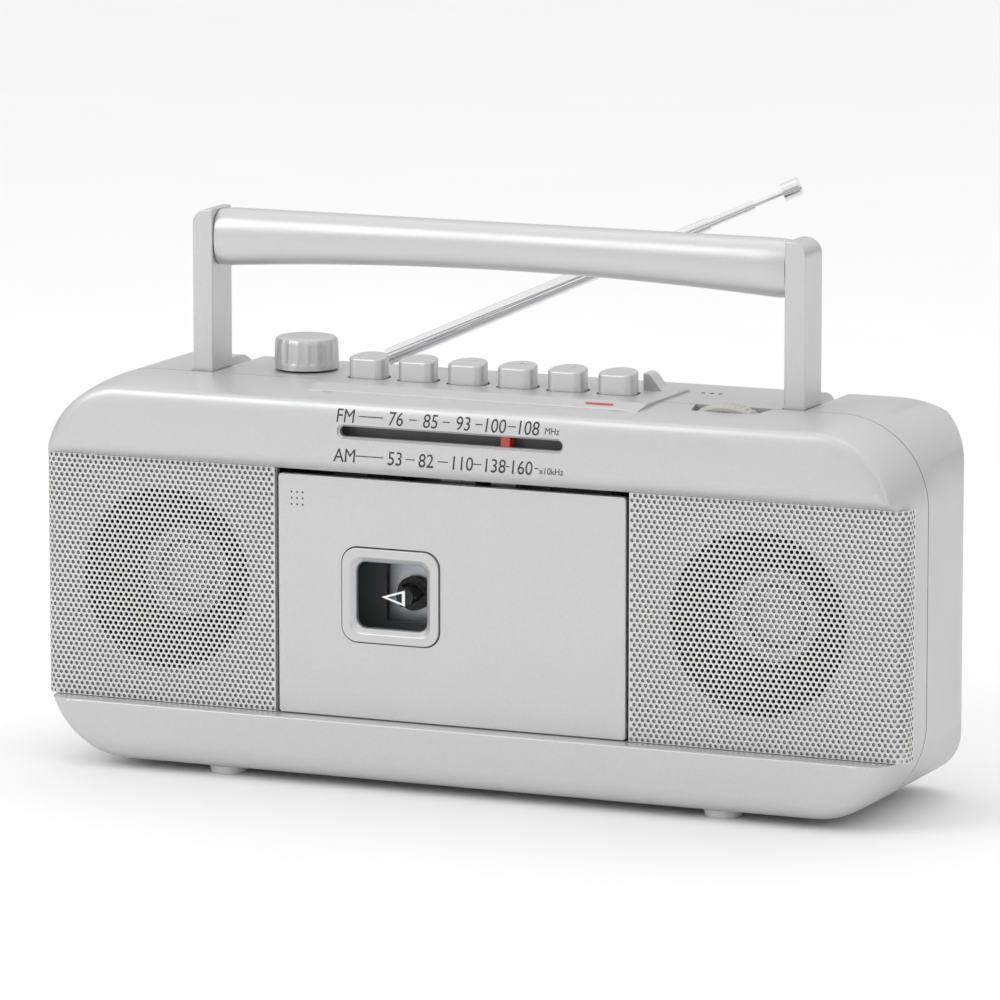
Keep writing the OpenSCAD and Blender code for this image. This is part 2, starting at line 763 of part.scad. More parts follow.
// The rounded tops of the swivel's two ears
module swivel_ears(z) {
    rotate([90, 0, 0]) translate([0, z, 0]) cylinder(r = 2.6, h = 2 * swivel_d, center = true);
}

module antenna_pin() {
    color([0.7, 0.7, 0.72]) translate([-antenna_x, antenna_y, antenna_z])
        rotate([0, 0, antenna_swing]) rotate([90, 0, 0]) cylinder(d = 1.6, h = 8, center = true);
}

// The thick section: a tongue in the swivel's fork, then the tube
module antenna_tube_1() {
    color([0.85, 0.85, 0.86]) on_antenna() {
        difference() {
            union() {
                rotate([90, 0, 0]) cylinder(r = 2.4, h = 2 * fork_w - 0.5, center = true);
                translate([0, -fork_w + 0.25, -1.6]) cube([tube_start + 1, 2 * fork_w - 0.5, 3.2]);
            }
            rotate([90, 0, 0]) cylinder(d = 1.6 + 2 * run_gap, h = 9, center = true);
        }
        translate([tube_start, 0, 0]) rotate([0, 90, 0]) cylinder(d = section_d[0], h = 2);
        translate([tube_start + 1.5, 0, 0])
            tube(section_d[0], section_d[1] + 2 * run_gap, section_l - 1.5);
    }
}
module antenna_tube_2() {
    color([0.85, 0.85, 0.86]) on_antenna(tube_start + drawn[0])
        translate([4, 0, 0]) tube(section_d[1], section_d[2] + 2 * run_gap, section_l - 4);
}
module antenna_tube_3() {
    color([0.85, 0.85, 0.86]) on_antenna(tube_start + drawn[0] + drawn[1])
        translate([6, 0, 0]) tube(section_d[2], section_d[3] + 2 * run_gap, section_l - 6);
}
module antenna_tip() {
    cap_d = 6.5;
    color([0.85, 0.85, 0.86]) on_antenna(tube_start + drawn[0] + drawn[1] + drawn[2])
        rotate([0, 90, 0]) {
            translate([0, 0, 8]) cylinder(d = section_d[3], h = section_l - 7);
            translate([0, 0, section_l]) cylinder(d = cap_d, h = 6);
            translate([0, 0, section_l + 5.99]) cylinder(d1 = cap_d, d2 = cap_d - 1.6, h = 0.8);
        }
}

// ---------------------------------------------------------------- cassette door

module cassette_door() {
    color([0.82, 0.82, 0.83]) difference() {
        union() {
            span([door_x0, face_y, door_z0], [door_x1, face_y + door_t, door_z1]);
            // hinge lugs behind its lower corners
            for (x = [door_x0, door_x1 - hinge_lug]) {
                span([x, face_y + door_t / 2, hinge_z - 2.4], [x + hinge_lug, hinge_y, hinge_z + 2.4]);
                rod_x([hinge_y, hinge_z], 4.8, x, x + hinge_lug);
            }
        }
        rod_x([hinge_y, hinge_z], hinge_d + 2 * run_gap, door_x0 - cut, door_x1 + cut);
        translate([window_x, 0, window_z]) along_y(face_y - cut, face_y + door_t + cut)
            round_rect(window_w, window_h, 5);
    }
}

module window_frame() {
    color([0.88, 0.88, 0.89]) translate([window_x, 0, window_z]) difference() {
        union() {
            along_y(face_y - 0.8, face_y)
                round_rect(window_w + 2 * window_rim, window_h + 2 * window_rim, 5 + window_rim);
            along_y(face_y, face_y + door_t) round_rect(window_w, window_h, 5);
        }
        along_y(face_y - 2, face_y + 10) round_rect(window_w - 1.6, window_h - 1.6, 4.2);
    }
}

module door_window() {
    color([0.5, 0.52, 0.53, 0.4]) translate([window_x, 0, window_z])
        along_y(face_y + 0.6, face_y + 1.8) round_rect(window_w - 1.6, window_h - 1.6, 4.2);
}

// The pocket behind the door: floor, two sides, front ledges and a back with open hub area
module cassette_holder() {
    x0 = deck_x - pocket_w / 2;
    x1 = deck_x + pocket_w / 2;
    y0 = face_y + door_t;
    color([0.3, 0.3, 0.31]) difference() {
        span([x0 - pocket_wall, y0, pocket_z0 - pocket_wall],
             [x1 + pocket_wall, pocket_y1 + pocket_wall, pocket_z0 + tape_h - 12]);
        span([x0, y0 - cut, pocket_z0], [x1, pocket_y1, tape_top + cut]);
        // clear of the spindles, and of the capstan's end
        span([takeup_x - 10, pocket_y0, hub_z - 10], [supply_x + 10, pocket_y1 + 9, tape_top]);
    }
}

module door_hinge_pins() {
    color([0.6, 0.6, 0.62]) {
        rod_x([hinge_y, hinge_z], hinge_d, pin_x0, door_x0 + hinge_lug + 1);
        rod_x([hinge_y, hinge_z], hinge_d, door_x1 - hinge_lug - 1, pin_x1);
    }
}

// ---------------------------------------------------------------- grilles and speakers

// A flat sheet in front of the baffle that turns back round the casing's end
module grille(inner_x, s) {
    outer = end_x + 1;
    lo = recess_z0 + 0.4;
    hi = recess_z1 - 0.4;
    difference() {
        intersection() {
            span([s > 0 ? inner_x : -outer, face_y, lo], [s > 0 ? outer : inner_x, face_y + grille_wrap, hi]);
            translate([0, 0, lo]) linear_extrude(hi - lo) difference() {
                translate([-outer, face_y]) square([2 * outer, grille_wrap]);
                corner_waste([s * outer, face_y], -s, 1, grille_bend);
            }
        }
        translate([0, 0, lo - cut]) linear_extrude(hi - lo + 2 * cut) difference() {
            translate([s > 0 ? inner_x - cut : -end_x, baffle_y])
                square([end_x + cut - s * inner_x, grille_wrap]);
            corner_waste([s * end_x, baffle_y], -s, 1, grille_bend - grille_t);
        }
    }
}
module left_grille() { color([0.75, 0.75, 0.76]) grille(door_x0 - door_gap, -1); }
module right_grille() { color([0.75, 0.75, 0.76]) grille(door_x1 + door_gap, 1); }

module speaker_frame(x) {
    cone_back = speaker_d * 0.42;
    translate([x, speaker_y, speaker_z]) rotate([-90, 0, 0]) difference() {
        union() {
            cylinder(d = speaker_d, h = speaker_flange);
            cylinder(d1 = speaker_d - 5, d2 = cone_back, h = speaker_depth);
        }
        translate([0, 0, -0.01])
            cylinder(d1 = speaker_d - 8, d2 = cone_back - 4, h = speaker_depth - 1.4);
        translate([0, 0, -0.01]) cylinder(r = cone_r, h = 1.8);
        translate([0, 0, speaker_depth / 2]) cylinder(d = 18.4, h = speaker_depth);
        for (i = [0:3]) rotate([0, 0, 45 + 90 * i]) translate([0, 0, 3.4])
            translate([0, -5, 0]) cube([speaker_d, 10, speaker_depth - 6.4]);
    }
}
module speaker_cone(x) {
    translate([x, speaker_y, speaker_z]) rotate([-90, 0, 0]) rotate_extrude()
        polygon([
            [0, 3.4], [8, 5.2], [11.8, 7.4], [12.2, 9.5], [13.4, 9.3],
            [cone_r - 5.5, 1], [cone_r, 1], [cone_r, 1.6], [cone_r - 5, 1.7],
            [13, 10.6], [9, 10.6], [9, coil_end], [8.5, coil_end], [8.5, 9.9], [0, 4.2]
        ]);
}
module speaker_magnet(x) {
    translate([x, speaker_y + speaker_depth, speaker_z]) rotate([-90, 0, 0]) difference() {
        cylinder(d = 40, h = 10);
        translate([0, 0, -cut]) difference() {
            cylinder(r = 9.6, h = 6);
            cylinder(r = 7.6, h = 8);
        }
    }
}
module left_speaker_frame() { color([0.25, 0.25, 0.26]) speaker_frame(speaker_left_x); }
module left_speaker_cone() { color([0.15, 0.15, 0.16]) speaker_cone(speaker_left_x); }
module left_speaker_magnet() { color([0.3, 0.3, 0.31]) speaker_magnet(speaker_left_x); }
module right_speaker_frame() { color([0.25, 0.25, 0.26]) speaker_frame(speaker_right_x); }
module right_speaker_cone() { color([0.15, 0.15, 0.16]) speaker_cone(speaker_right_x); }
module right_speaker_magnet() { color([0.3, 0.3, 0.31]) speaker_magnet(speaker_right_x); }

// ---------------------------------------------------------------- tape drive

module deck_chassis() {
    color([0.6, 0.6, 0.61]) difference() {
        union() {
            span([deck_x - pocket_w / 2 - 1, chassis_y, chassis_z0],
                 [deck_x + pocket_w / 2 + 1, chassis_y + chassis_t, chassis_z1]);
            for (z = [ear_low_z, ear_top_z])
                span([ear_x0 - ear_d / 2, chassis_y, z - ear_d / 2],
                     [ear_x1 + ear_d / 2, chassis_y + chassis_t, z + ear_d / 2]);
            for (x = [takeup_x, supply_x]) rod_y([x, hub_z], 7, chassis_y, chassis_y + 6);
            rod_y([capstan_x, capstan_z], 7, chassis_y, fly_y - 1);
        }
        for (x = [takeup_x, supply_x]) rod_y([x, hub_z], 3 + 2 * run_gap, chassis_y - 9, fly_y);
        rod_y([capstan_x, capstan_z], capstan_d + 2 * run_gap, chassis_y - 9, fly_y);
    }
}

module spindle(x) {
    rod_y([x, hub_z], 12, chassis_y - 2.4, chassis_y - 0.6);
    rod_y([x, hub_z], 6.4, chassis_y - 9.4, chassis_y - 2);
    for (i = [0:2]) translate([x, chassis_y - 5.4, hub_z]) rotate([0, 120 * i, 0])
        translate([3.2, 0, 0]) cube([2, 6, 1.2], center = true);
    rod_y([x, hub_z], 3, chassis_y - 3, chassis_y + 7);
    rod_y([x, hub_z], 5, chassis_y + 6.4, chassis_y + 7.6);
}
module takeup_spindle() { color([0.12, 0.12, 0.13]) spindle(takeup_x); }
module supply_spindle() { color([0.12, 0.12, 0.13]) spindle(supply_x); }

module flywheel() {
    color([0.7, 0.68, 0.62]) {
        rod_y([capstan_x, capstan_z], capstan_d, chassis_y - 8, fly_y + 1);
        difference() {
            rod_y([capstan_x, capstan_z], fly_d, fly_y, fly_y + fly_t);
            difference() {
                rod_y([capstan_x, capstan_z], fly_d - 8, fly_y + 2, fly_y + fly_t + cut);
                rod_y([capstan_x, capstan_z], 12, fly_y, fly_y + fly_t + 2 * cut);
            }
        }
    }
}
module motor() {
    color([0.65, 0.65, 0.67]) difference() {
        union() {
            rod_y([motor_x, motor_z], motor_d, chassis_y + chassis_t, fly_y - 1);
            rod_y([motor_x, motor_z], 8, fly_y - 1.2, fly_y - 0.2);
        }
        rod_y([motor_x, motor_z], motor_shaft_d + 2 * run_gap, fly_y - 9, fly_y);
    }
}
module motor_pulley() {
    color([0.75, 0.65, 0.35]) {
        rod_y([motor_x, motor_z], pulley_d, fly_y + 0.3, fly_y + fly_t);
        rod_y([motor_x, motor_z], motor_shaft_d, fly_y - 8, fly_y + 1);
    }
}

// The band between two circles of radius a and b whose centres lie apart by d along +X
module band(a, b, d) {
    t = acos((a - b) / d);
    circle(a);
    translate([d, 0]) circle(b);
    polygon([
        [a * cos(t), a * sin(t)], [a * cos(t), -a * sin(t)],
        [d + b * cos(t), -b * sin(t)], [d + b * cos(t), b * sin(t)]
    ]);
}
module drive_belt() {
    run = sqrt(pow(motor_x - capstan_x, 2) + pow(motor_z - capstan_z, 2));
    lean = atan2(motor_z - capstan_z, motor_x - capstan_x);
    a = fly_d / 2 + slide_gap;
    b = pulley_d / 2 + slide_gap;
    color([0.1, 0.1, 0.1]) translate([capstan_x, 0, capstan_z]) along_y(fly_y + 1, fly_y + 4)
        rotate(lean) difference() {
            band(a + belt_t, b + belt_t, run);
            band(a, b, run);
        }
}

// Sliding plate in front of the chassis that brings the heads to the tape
module head_plate() {
    color([0.68, 0.68, 0.7]) {
        span([deck_x - 38, chassis_y - 1.6, tape_top + 3], [deck_x + 30, chassis_y - 0.5, tape_top + 14]);
        // arm and axle of the pinch roller
        span([capstan_x - 3, chassis_y - 4, tape_top + 8.4], [capstan_x + 3, chassis_y - 1.5, tape_top + 12]);
        span([capstan_x - 1.8, chassis_y - 3.4, capstan_z + roller_d / 2 + 4.2],
             [capstan_x + 1.8, chassis_y - 2, tape_top + 9]);
        rod_y([capstan_x, capstan_z + roller_d / 2 + 5.6], 2, chassis_y - 12, chassis_y - 2);
    }
}
module pinch_roller() {
    color([0.1, 0.1, 0.1]) difference() {
        rod_y([capstan_x, capstan_z + roller_d / 2 + 5.6], roller_d, chassis_y - 11.4, chassis_y - 4.6);
        rod_y([capstan_x, capstan_z + roller_d / 2 + 5.6], 2 + 2 * run_gap, chassis_y - 13, chassis_y);
    }
}
module tape_heads() {
    color([0.7, 0.7, 0.72]) for (h = [[deck_x, 6.5], [deck_x + 17, 4.5]]) {
        span([h[0] - h[1], chassis_y - 12, tape_top + 4], [h[0] + h[1], chassis_y - 1.6, tape_top + 12]);
        intersection() {
            rod_y([h[0], tape_top + 2 + h[1]], 2 * h[1], chassis_y - 12, chassis_y - 4);
            span([h[0] - 9, chassis_y - 12, tape_top + 2], [h[0] + 9, chassis_y - 4, tape_top + 4.01]);
        }
    }
}

// ---------------------------------------------------------------- electrics

module main_board() {
    z0 = bay_z0 + bay_h + wall;
    clip_t = 3;
    color([0.2, 0.35, 0.2]) {
        span([-60, board_y, z0], [90, board_y + 1.6, board_z1]);
        for (x = [70, 80]) rod_y([x, z0 + 14], 8, board_y + 1.5, board_y + 13);
        span([0, board_y + 1.5, z0 + 10], [20, board_y + 5, z0 + 17]);
        span([30, board_y + 1.5, z0 + 7], [42, board_y + 9, z0 + 27]);
        // clips that hold the ferrite rod
        difference() {
            for (x = [-30, 45]) span([x, board_y, board_z1 - 6], [x + clip_t, ferrite_y + 6, ferrite_z + 4]);
            rod_x([ferrite_y, ferrite_z], ferrite_d, -40, 55);
        }
    }
}
module ferrite_rod() {
    color([0.2, 0.18, 0.17]) rod_x([ferrite_y, ferrite_z], ferrite_d, -40, 55);
}
module transformer() {
    color([0.45, 0.42, 0.36]) {
        span([-126, 12, base_z + wall], [-92, 36, base_z + 38]);
        span([-122, 8, base_z + 10], [-96, 40, base_z + 30]);
    }
}
module battery_door() {
    color([0.78, 0.78, 0.79]) {
        difference() {
            union() {
                span([-bay_w / 2 - lid_lap, back_y - lid_t, bay_z0 + lid_root],
                     [bay_w / 2 + lid_lap, back_y, bay_z0 + bay_h + lid_lap]);
                span([-bay_w / 2 + slide_gap, back_y - lid_t, bay_z0],
                     [bay_w / 2 - slide_gap, back_y, bay_z0 + lid_root + 1]);
            }
            for (i = [-3:3]) translate([0, back_y, bay_z0 + bay_h - 6 + 1.2 * i])
                cube([24, 1.6, 0.6], center = true);
        }
        rod_x([back_y - lid_t, lid_pin_z], lid_pin_d, -bay_w / 2 - 1.6, bay_w / 2 + 1.6);
    }
}

// Spring plates at both ends of each row of cells
module battery_contacts() {
    color([0.75, 0.75, 0.78]) for (s = [-1, 1], row = [0, 1])
        translate([s * (bay_w / 2 - 0.3), bay_y0 + 3 + cell_d / 2, bay_z0 + 1.5 + cell_d * (row + 0.5)]) {
            cube([0.6, 18, 18], center = true);
            translate([-s * 1.4, 0, 0]) rotate([0, 90, 0]) cylinder(d = 8, h = 2.4, center = true);
        }
}

// Two-pin mains inlet with a recess for its plug
module ac_inlet() {
    y0 = back_y - 17;
    color([0.12, 0.12, 0.13]) difference() {
        union() {
            span([inlet_x - inlet_w / 2, y0, inlet_z - inlet_h / 2],
                 [inlet_x + inlet_w / 2, back_y - 0.4, inlet_z + inlet_h / 2]);
            // flange against the inside of the casing
            span([inlet_x - inlet_w / 2 - 2, back_y - wall - 1.5, inlet_z - inlet_h / 2 - 2],
                 [inlet_x + inlet_w / 2 + 2, back_y - wall, inlet_z + inlet_h / 2 + 2]);
        }
        translate([inlet_x, 0, inlet_z]) along_y(y0 + 3, back_y + cut) round_rect(15.6, 7.4, 3.6);
    }
    color([0.75, 0.75, 0.77]) for (s = [-1, 1])
        rod_y([inlet_x + s * 4.3, inlet_z], 2.4, y0 + 2, back_y - 4);
}
module headphone_jack() {
    color([0.12, 0.12, 0.13]) difference() {
        union() {
            rod_y([jack_x, jack_z], 8, back_y - 6, back_y);
            span([jack_x - 5, back_y - 18, jack_z - 5], [jack_x + 5, back_y - wall, jack_z + 5]);
        }
        rod_y([jack_x, jack_z], jack_bore, back_y - 16, back_y + cut);
    }
}
module microphone() {
    color([0.3, 0.3, 0.3]) rod_z([mic_x, mic_y], 9.6, top_z - wall - 6, top_z - wall);
}

// Slide switch for tape, radio and off
module function_switch() {
    color([0.15, 0.15, 0.16]) {
        span([switch_x - 3, back_y - wall - 3, switch_z - 1.6], [switch_x + 3, back_y + 1.6, switch_z + 1.6]);
        span([switch_x - 4, back_y - wall - 4, switch_z - 4],
             [switch_x + 4, back_y - wall - 0.5, switch_z + 4]);
    }
}

front_casing();
rear_casing();
key_panel();
dial_backplate();
dial_pointer();
tuning_wheel();
tuning_capacitor();
volume_knob();
volume_control();
pause_key();
stop_eject_key();
forward_key();
rewind_key();
play_key();
record_key();
key_frame();
handle_grip();
handle_arm_left();
handle_arm_right();
handle_pivots();
antenna_swivel();
antenna_pin();
antenna_tube_1();
antenna_tube_2();
antenna_tube_3();
antenna_tip();
cassette_door();
window_frame();
door_window();
cassette_holder();
door_hinge_pins();
left_grille();
right_grille();
left_speaker_frame();
left_speaker_cone();
left_speaker_magnet();
right_speaker_frame();
right_speaker_cone();
right_speaker_magnet();
deck_chassis();
motor();
motor_pulley();
drive_belt();
flywheel();
takeup_spindle();
supply_spindle();
head_plate();
tape_heads();
pinch_roller();
main_board();
ferrite_rod();
transformer();
battery_door();
battery_contacts();
ac_inlet();
headphone_jack();
feet();
casing_screws();
microphone();
function_switch();
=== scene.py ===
"""Looks of the stereo radio cassette recorder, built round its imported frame. Lengths are in millimetres."""
import json
import math

import bmesh
import bpy
from mathutils import Matrix, Vector


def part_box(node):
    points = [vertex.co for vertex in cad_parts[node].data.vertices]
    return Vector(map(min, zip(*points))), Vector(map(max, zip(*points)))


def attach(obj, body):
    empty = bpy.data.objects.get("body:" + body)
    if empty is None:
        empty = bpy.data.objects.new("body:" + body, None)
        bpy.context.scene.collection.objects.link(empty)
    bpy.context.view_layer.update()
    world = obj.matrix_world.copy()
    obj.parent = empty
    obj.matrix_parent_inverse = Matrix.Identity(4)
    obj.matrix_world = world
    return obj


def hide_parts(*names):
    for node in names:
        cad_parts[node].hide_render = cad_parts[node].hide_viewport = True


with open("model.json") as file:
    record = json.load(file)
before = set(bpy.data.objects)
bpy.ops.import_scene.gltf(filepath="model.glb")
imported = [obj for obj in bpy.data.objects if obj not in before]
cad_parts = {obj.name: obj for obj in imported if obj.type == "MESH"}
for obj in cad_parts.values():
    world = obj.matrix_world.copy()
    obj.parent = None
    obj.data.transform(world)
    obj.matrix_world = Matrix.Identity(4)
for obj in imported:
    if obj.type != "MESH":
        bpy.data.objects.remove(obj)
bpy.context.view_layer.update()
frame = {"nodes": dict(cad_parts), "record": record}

MM = 0.001
TAU = 2 * math.pi
WORLD_LIGHT = 1.08


# ---------------------------------------------------------------- places taken from the frame

def span(node):
    """A CAD node's lowest and highest corner, in millimetres."""
    lo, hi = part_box(node)
    return lo / MM, hi / MM


CASE_LO, CASE_HI = span("front_casing")
DOOR_LO, DOOR_HI = span("cassette_door")
NOSE_Y, SEAM_Y = CASE_LO.y, CASE_HI.y
END_X, BASE_Z, TOP_Z = CASE_HI.x, CASE_LO.z, CASE_HI.z
WALL = 2.4
CORNER_R = 31
RECESS_Z0, RECESS_Z1 = DOOR_LO.z - 0.3, DOOR_HI.z + 2
BAFFLE_Y = DOOR_LO.y + 1.2
KEYS = ("pause_key", "stop_eject_key", "forward_key", "rewind_key", "play_key", "record_key")


# ---------------------------------------------------------------- materials

def node_material(name, color, metallic=0.0, roughness=0.5, **sockets):
    """A principled material; sockets set further plain values."""
    mat = bpy.data.materials.new(name)
    mat.use_nodes = True
    shader = mat.node_tree.nodes["Principled BSDF"]
    shader.inputs["Base Color"].default_value = (*color, 1)
    shader.inputs["Metallic"].default_value = metallic
    shader.inputs["Roughness"].default_value = roughness
    for key, value in sockets.items():
        shader.inputs[key.replace("_", " ")].default_value = value
    mat.diffuse_color = (*color, 1)
    return mat, shader


def texture(mat, kind, scale, stretch=(1, 1, 1), **values):
    """A texture node on the object's own coordinates; scale is in features per metre."""
    tree = mat.node_tree
    coords = tree.nodes.new("ShaderNodeTexCoord")
    mapping = tree.nodes.new("ShaderNodeMapping")
    mapping.inputs["Scale"].default_value = stretch
    tex = tree.nodes.new(kind)
    tex.inputs["Scale"].default_value = scale
    for key, value in values.items():
        tex.inputs[key].default_value = value
    tree.links.new(coords.outputs["Object"], mapping.inputs["Vector"])
    tree.links.new(mapping.outputs["Vector"], tex.inputs["Vector"])
    return tex


def vary(mat, shader, socket, tex, low, high, start=0.3, stop=0.7):
    """Drives a socket between two values, or two colours, by a texture."""
    tree = mat.node_tree
    ramp = tree.nodes.new("ShaderNodeValToRGB")
    ramp.color_ramp.elements[0].position = start
    ramp.color_ramp.elements[1].position = stop
    for element, value in zip(ramp.color_ramp.elements, (low, high)):
        rgb = value if isinstance(value, tuple) else (value,) * 3
        element.color = (*rgb, 1)
    out = tex.outputs.get("Fac") or tex.outputs[0]
    tree.links.new(out, ramp.inputs["Fac"])
    tree.links.new(ramp.outputs["Color"], shader.inputs[socket])


def bump(mat, shader, tex, strength, depth):
    """Raises the surface by a texture; depth is in millimetres."""
    tree = mat.node_tree
    node = tree.nodes.new("ShaderNodeBump")
    node.inputs["Strength"].default_value = strength
    node.inputs["Distance"].default_value = depth * MM
    out = tex.outputs.get("Fac") or tex.outputs[0]
    tree.links.new(out, node.inputs["Height"])
    tree.links.new(node.outputs["Normal"], shader.inputs["Normal"])


def shade(color, factor):
    return tuple(min(1.0, c * factor) for c in color)


def fine_material(name, color, metallic, roughness, grain, spread=0.04, depth=0.02, strength=0.25,
                  stretch=(1, 1, 1), rough_spread=0.05, **sockets):
    """A surface with grain of about 1/grain metres in its colour, roughness and relief."""
    mat, shader = node_material(name, color, metallic, roughness, **sockets)
    tex = texture(mat, "ShaderNodeTexNoise", grain, stretch, Detail=4.0, Roughness=0.6)
    cloud = texture(mat, "ShaderNodeTexNoise", 25, Detail=3.0)
    vary(mat, shader, "Base Color", tex, shade(color, 1 - spread), shade(color, 1 + spread))
    vary(mat, shader, "Roughness", cloud, roughness - rough_spread, roughness + rough_spread)
    bump(mat, shader, tex, strength, depth)
    return mat


def make_materials():
    m = {}
    silver = (0.585, 0.585, 0.59)
    m["casing"] = fine_material("silver_paint", silver, 0.55, 0.40, 2600, 0.05, 0.015, 0.15)
    m["trim"] = fine_material("satin_trim", (0.60, 0.60, 0.605), 0.65, 0.38, 2800, 0.05, 0.012, 0.15)
    m["grille"] = fine_material("grille_metal", (0.66, 0.66, 0.655), 0.75, 0.36, 1800, 0.04, 0.01, 0.15)
    m["chrome"] = fine_material("chrome", (0.78, 0.78, 0.79), 1.0, 0.08, 900, 0.02, 0.004, 0.05,
                                rough_spread=0.03)
    m["steel"] = fine_material("brushed_steel", (0.55, 0.55, 0.56), 1.0, 0.3, 1500, 0.06, 0.01, 0.2,
                               stretch=(0.08, 1, 1))
    m["brass"] = fine_material("brass", (0.62, 0.46, 0.2), 1.0, 0.25, 1200, 0.05, 0.01, 0.15)
    m["black"] = fine_material("black_plastic", (0.022, 0.022, 0.024), 0, 0.42, 2400, 0.15, 0.03, 0.3)
    m["grey"] = fine_material("grey_plastic", (0.10, 0.10, 0.105), 0, 0.5, 2000, 0.1, 0.03, 0.3)
    m["pale"] = fine_material("pale_plastic", (0.62, 0.62, 0.61), 0, 0.5, 2000, 0.03, 0.02, 0.2)
    m["cream"] = fine_material("cream_plastic", (0.50, 0.49, 0.45), 0, 0.42, 1800, 0.03, 0.02, 0.2)
    m["red"] = fine_material("red_plastic", (0.50, 0.06, 0.05), 0, 0.4, 1500, 0.05, 0.01, 0.15)
    m["rubber"] = fine_material("rubber", (0.03, 0.03, 0.032), 0, 0.75, 1400, 0.15, 0.05, 0.4)
    m["paper"] = fine_material("cone_paper", (0.03, 0.03, 0.032), 0, 0.85, 700, 0.25, 0.15, 0.5)
    m["dust_cap"] = fine_material("dust_cap", (0.62, 0.62, 0.63), 0.85, 0.3, 900, 0.03, 0.01, 0.1)
    m["board"] = fine_material("circuit_board", (0.05, 0.16, 0.07), 0, 0.45, 500, 0.25, 0.03, 0.3)
    m["ferrite"] = fine_material("ferrite", (0.05, 0.048, 0.046), 0.1, 0.6, 800, 0.15, 0.05, 0.3)
    m["print_dark"] = fine_material("dark_print", (0.035, 0.035, 0.04), 0, 0.5, 2500, 0.1, 0.005, 0.1)
    m["print_white"] = fine_material("white_print", (0.85, 0.85, 0.85), 0, 0.5, 2500, 0.03, 0.005, 0.1)
    m["well"] = fine_material("dial_well", (0.17, 0.17, 0.175), 0.2, 0.45, 1500, 0.06, 0.02, 0.2)
    m["clear"] = clear_material()
    return m


def clear_material():
    mat, shader = node_material("clear_window", (0.86, 0.87, 0.88), 0, 0.06)
    shader.inputs["Transmission Weight"].default_value = 1.0
    shader.inputs["IOR"].default_value = 1.1
    cloud = texture(mat, "ShaderNodeTexNoise", 60, Detail=3.0)
    vary(mat, shader, "Roughness", cloud, 0.03, 0.09)
    return mat


# ---------------------------------------------------------------- mesh helpers

def link_mesh(name, mesh, mat, angle=32):
    obj = bpy.data.objects.new(name, mesh)
    bpy.context.scene.collection.objects.link(obj)
    mesh.materials.clear()
    mesh.materials.append(mat)
    finish_shading(mesh, angle)
    return obj


def finish_shading(mesh, angle=32):
    mesh.polygons.foreach_set("use_smooth", [True] * len(mesh.polygons))
    mesh.set_sharp_from_angle(angle=math.radians(angle))
    mesh.update()


def tidy_mesh(mesh):
    bm = bmesh.new()
    bm.from_mesh(mesh)
    bmesh.ops.remove_doubles(bm, verts=bm.verts, dist=1e-7)
    bmesh.ops.recalc_face_normals(bm, faces=bm.faces)
    bm.to_mesh(mesh)
    bm.free()


def piece(name, verts, faces, mat, angle=32):
    """A new mesh from points in millimetres."""
    mesh = bpy.data.meshes.new(name)
    mesh.from_pydata([(x * MM, y * MM, z * MM) for x, y, z in verts], [], faces)
    tidy_mesh(mesh)
    return link_mesh(name, mesh, mat, angle)


def loft(name, rings, mat, angle=32, closed=False):
    """Skin over rings of equally many points, capped at both ends or closed on itself."""
    n = len(rings[0])
    verts = [p for ring in rings for p in ring]
    faces = []
    count = len(rings)
    for k in range(count if closed else count - 1):
        a, b = k * n, ((k + 1) % count) * n
        faces += [(a + i, a + (i + 1) % n, b + (i + 1) % n, b + i) for i in range(n)]
    if not closed:
        faces += [tuple(range(n - 1, -1, -1)), tuple(range((count - 1) * n, count * n))]
    return piece(name, verts, faces, mat, angle)


def round_outline(x0, x1, z0, z1, r, steps=8, r_low=None):
    """A rectangle with rounded corners as (a, b) points, anticlockwise."""
    r_low = r if r_low is None else r_low
    points = []
    corners = ((x1, z0, -1, 1, r_low, 270), (x1, z1, -1, -1, r, 0), (x0, z1, 1, -1, r, 90),
               (x0, z0, 1, 1, r_low, 180))
    for cx, cz, sx, sz, rad, start in corners:
        for k in range(steps + 1):
            t = math.radians(start + 90 * k / steps)
            points.append((cx + sx * rad + rad * math.cos(t), cz + sz * rad + rad * math.sin(t)))
    return points


def grown(points, d):
    """The outline moved outwards by d; it runs anticlockwise."""
    out = []
    n = len(points)
    for i in range(n):
        (ax, ay), (bx, by), (cx, cy) = points[i - 1], points[i], points[(i + 1) % n]
        nx, ny = (by - ay) + (cy - by), -(bx - ax) - (cx - bx)
        size = math.hypot(nx, ny) or 1
        out.append((bx + d * nx / size, by + d * ny / size))
    return out


def plate(name, outline, y0, y1, mat, edge=0.3, steps=3, angle=32):
    """A plate across Y from an (x, z) outline, its front edge (y0) rounded by edge."""
    rings = [[(x, y1, z) for x, z in outline]]
    for k in range(steps + 1):
        t = math.pi / 2 * k / steps
        d = edge * (1 - math.cos(t))
        rings.append([(x, y0 + edge - edge * math.sin(t), z) for x, z in grown(outline, -d)])
    return loft(name, rings, mat, angle)


def block(lo, hi):
    """A cutter's box."""
    outline = [(lo[0], lo[2]), (hi[0], lo[2]), (hi[0], hi[2]), (lo[0], hi[2])]
    return loft("cutter", [[(x, y, z) for x, z in outline] for y in (lo[1], hi[1])], CUTTER)


def prism(outline, a, b, axis="y"):
    """A cutter along an axis: the outline's points are the other two coordinates in order."""
    order = {"y": lambda p, t: (p[0], t, p[1]), "z": lambda p, t: (p[0], p[1], t),
             "x": lambda p, t: (t, p[0], p[1])}[axis]
    return loft("cutter", [[order(p, t) for p in outline] for t in (a, b)], CUTTER)


def circle(r, steps=96, centre=(0, 0)):
    return [(centre[0] + r * math.cos(TAU * k / steps), centre[1] + r * math.sin(TAU * k / steps))
            for k in range(steps)]


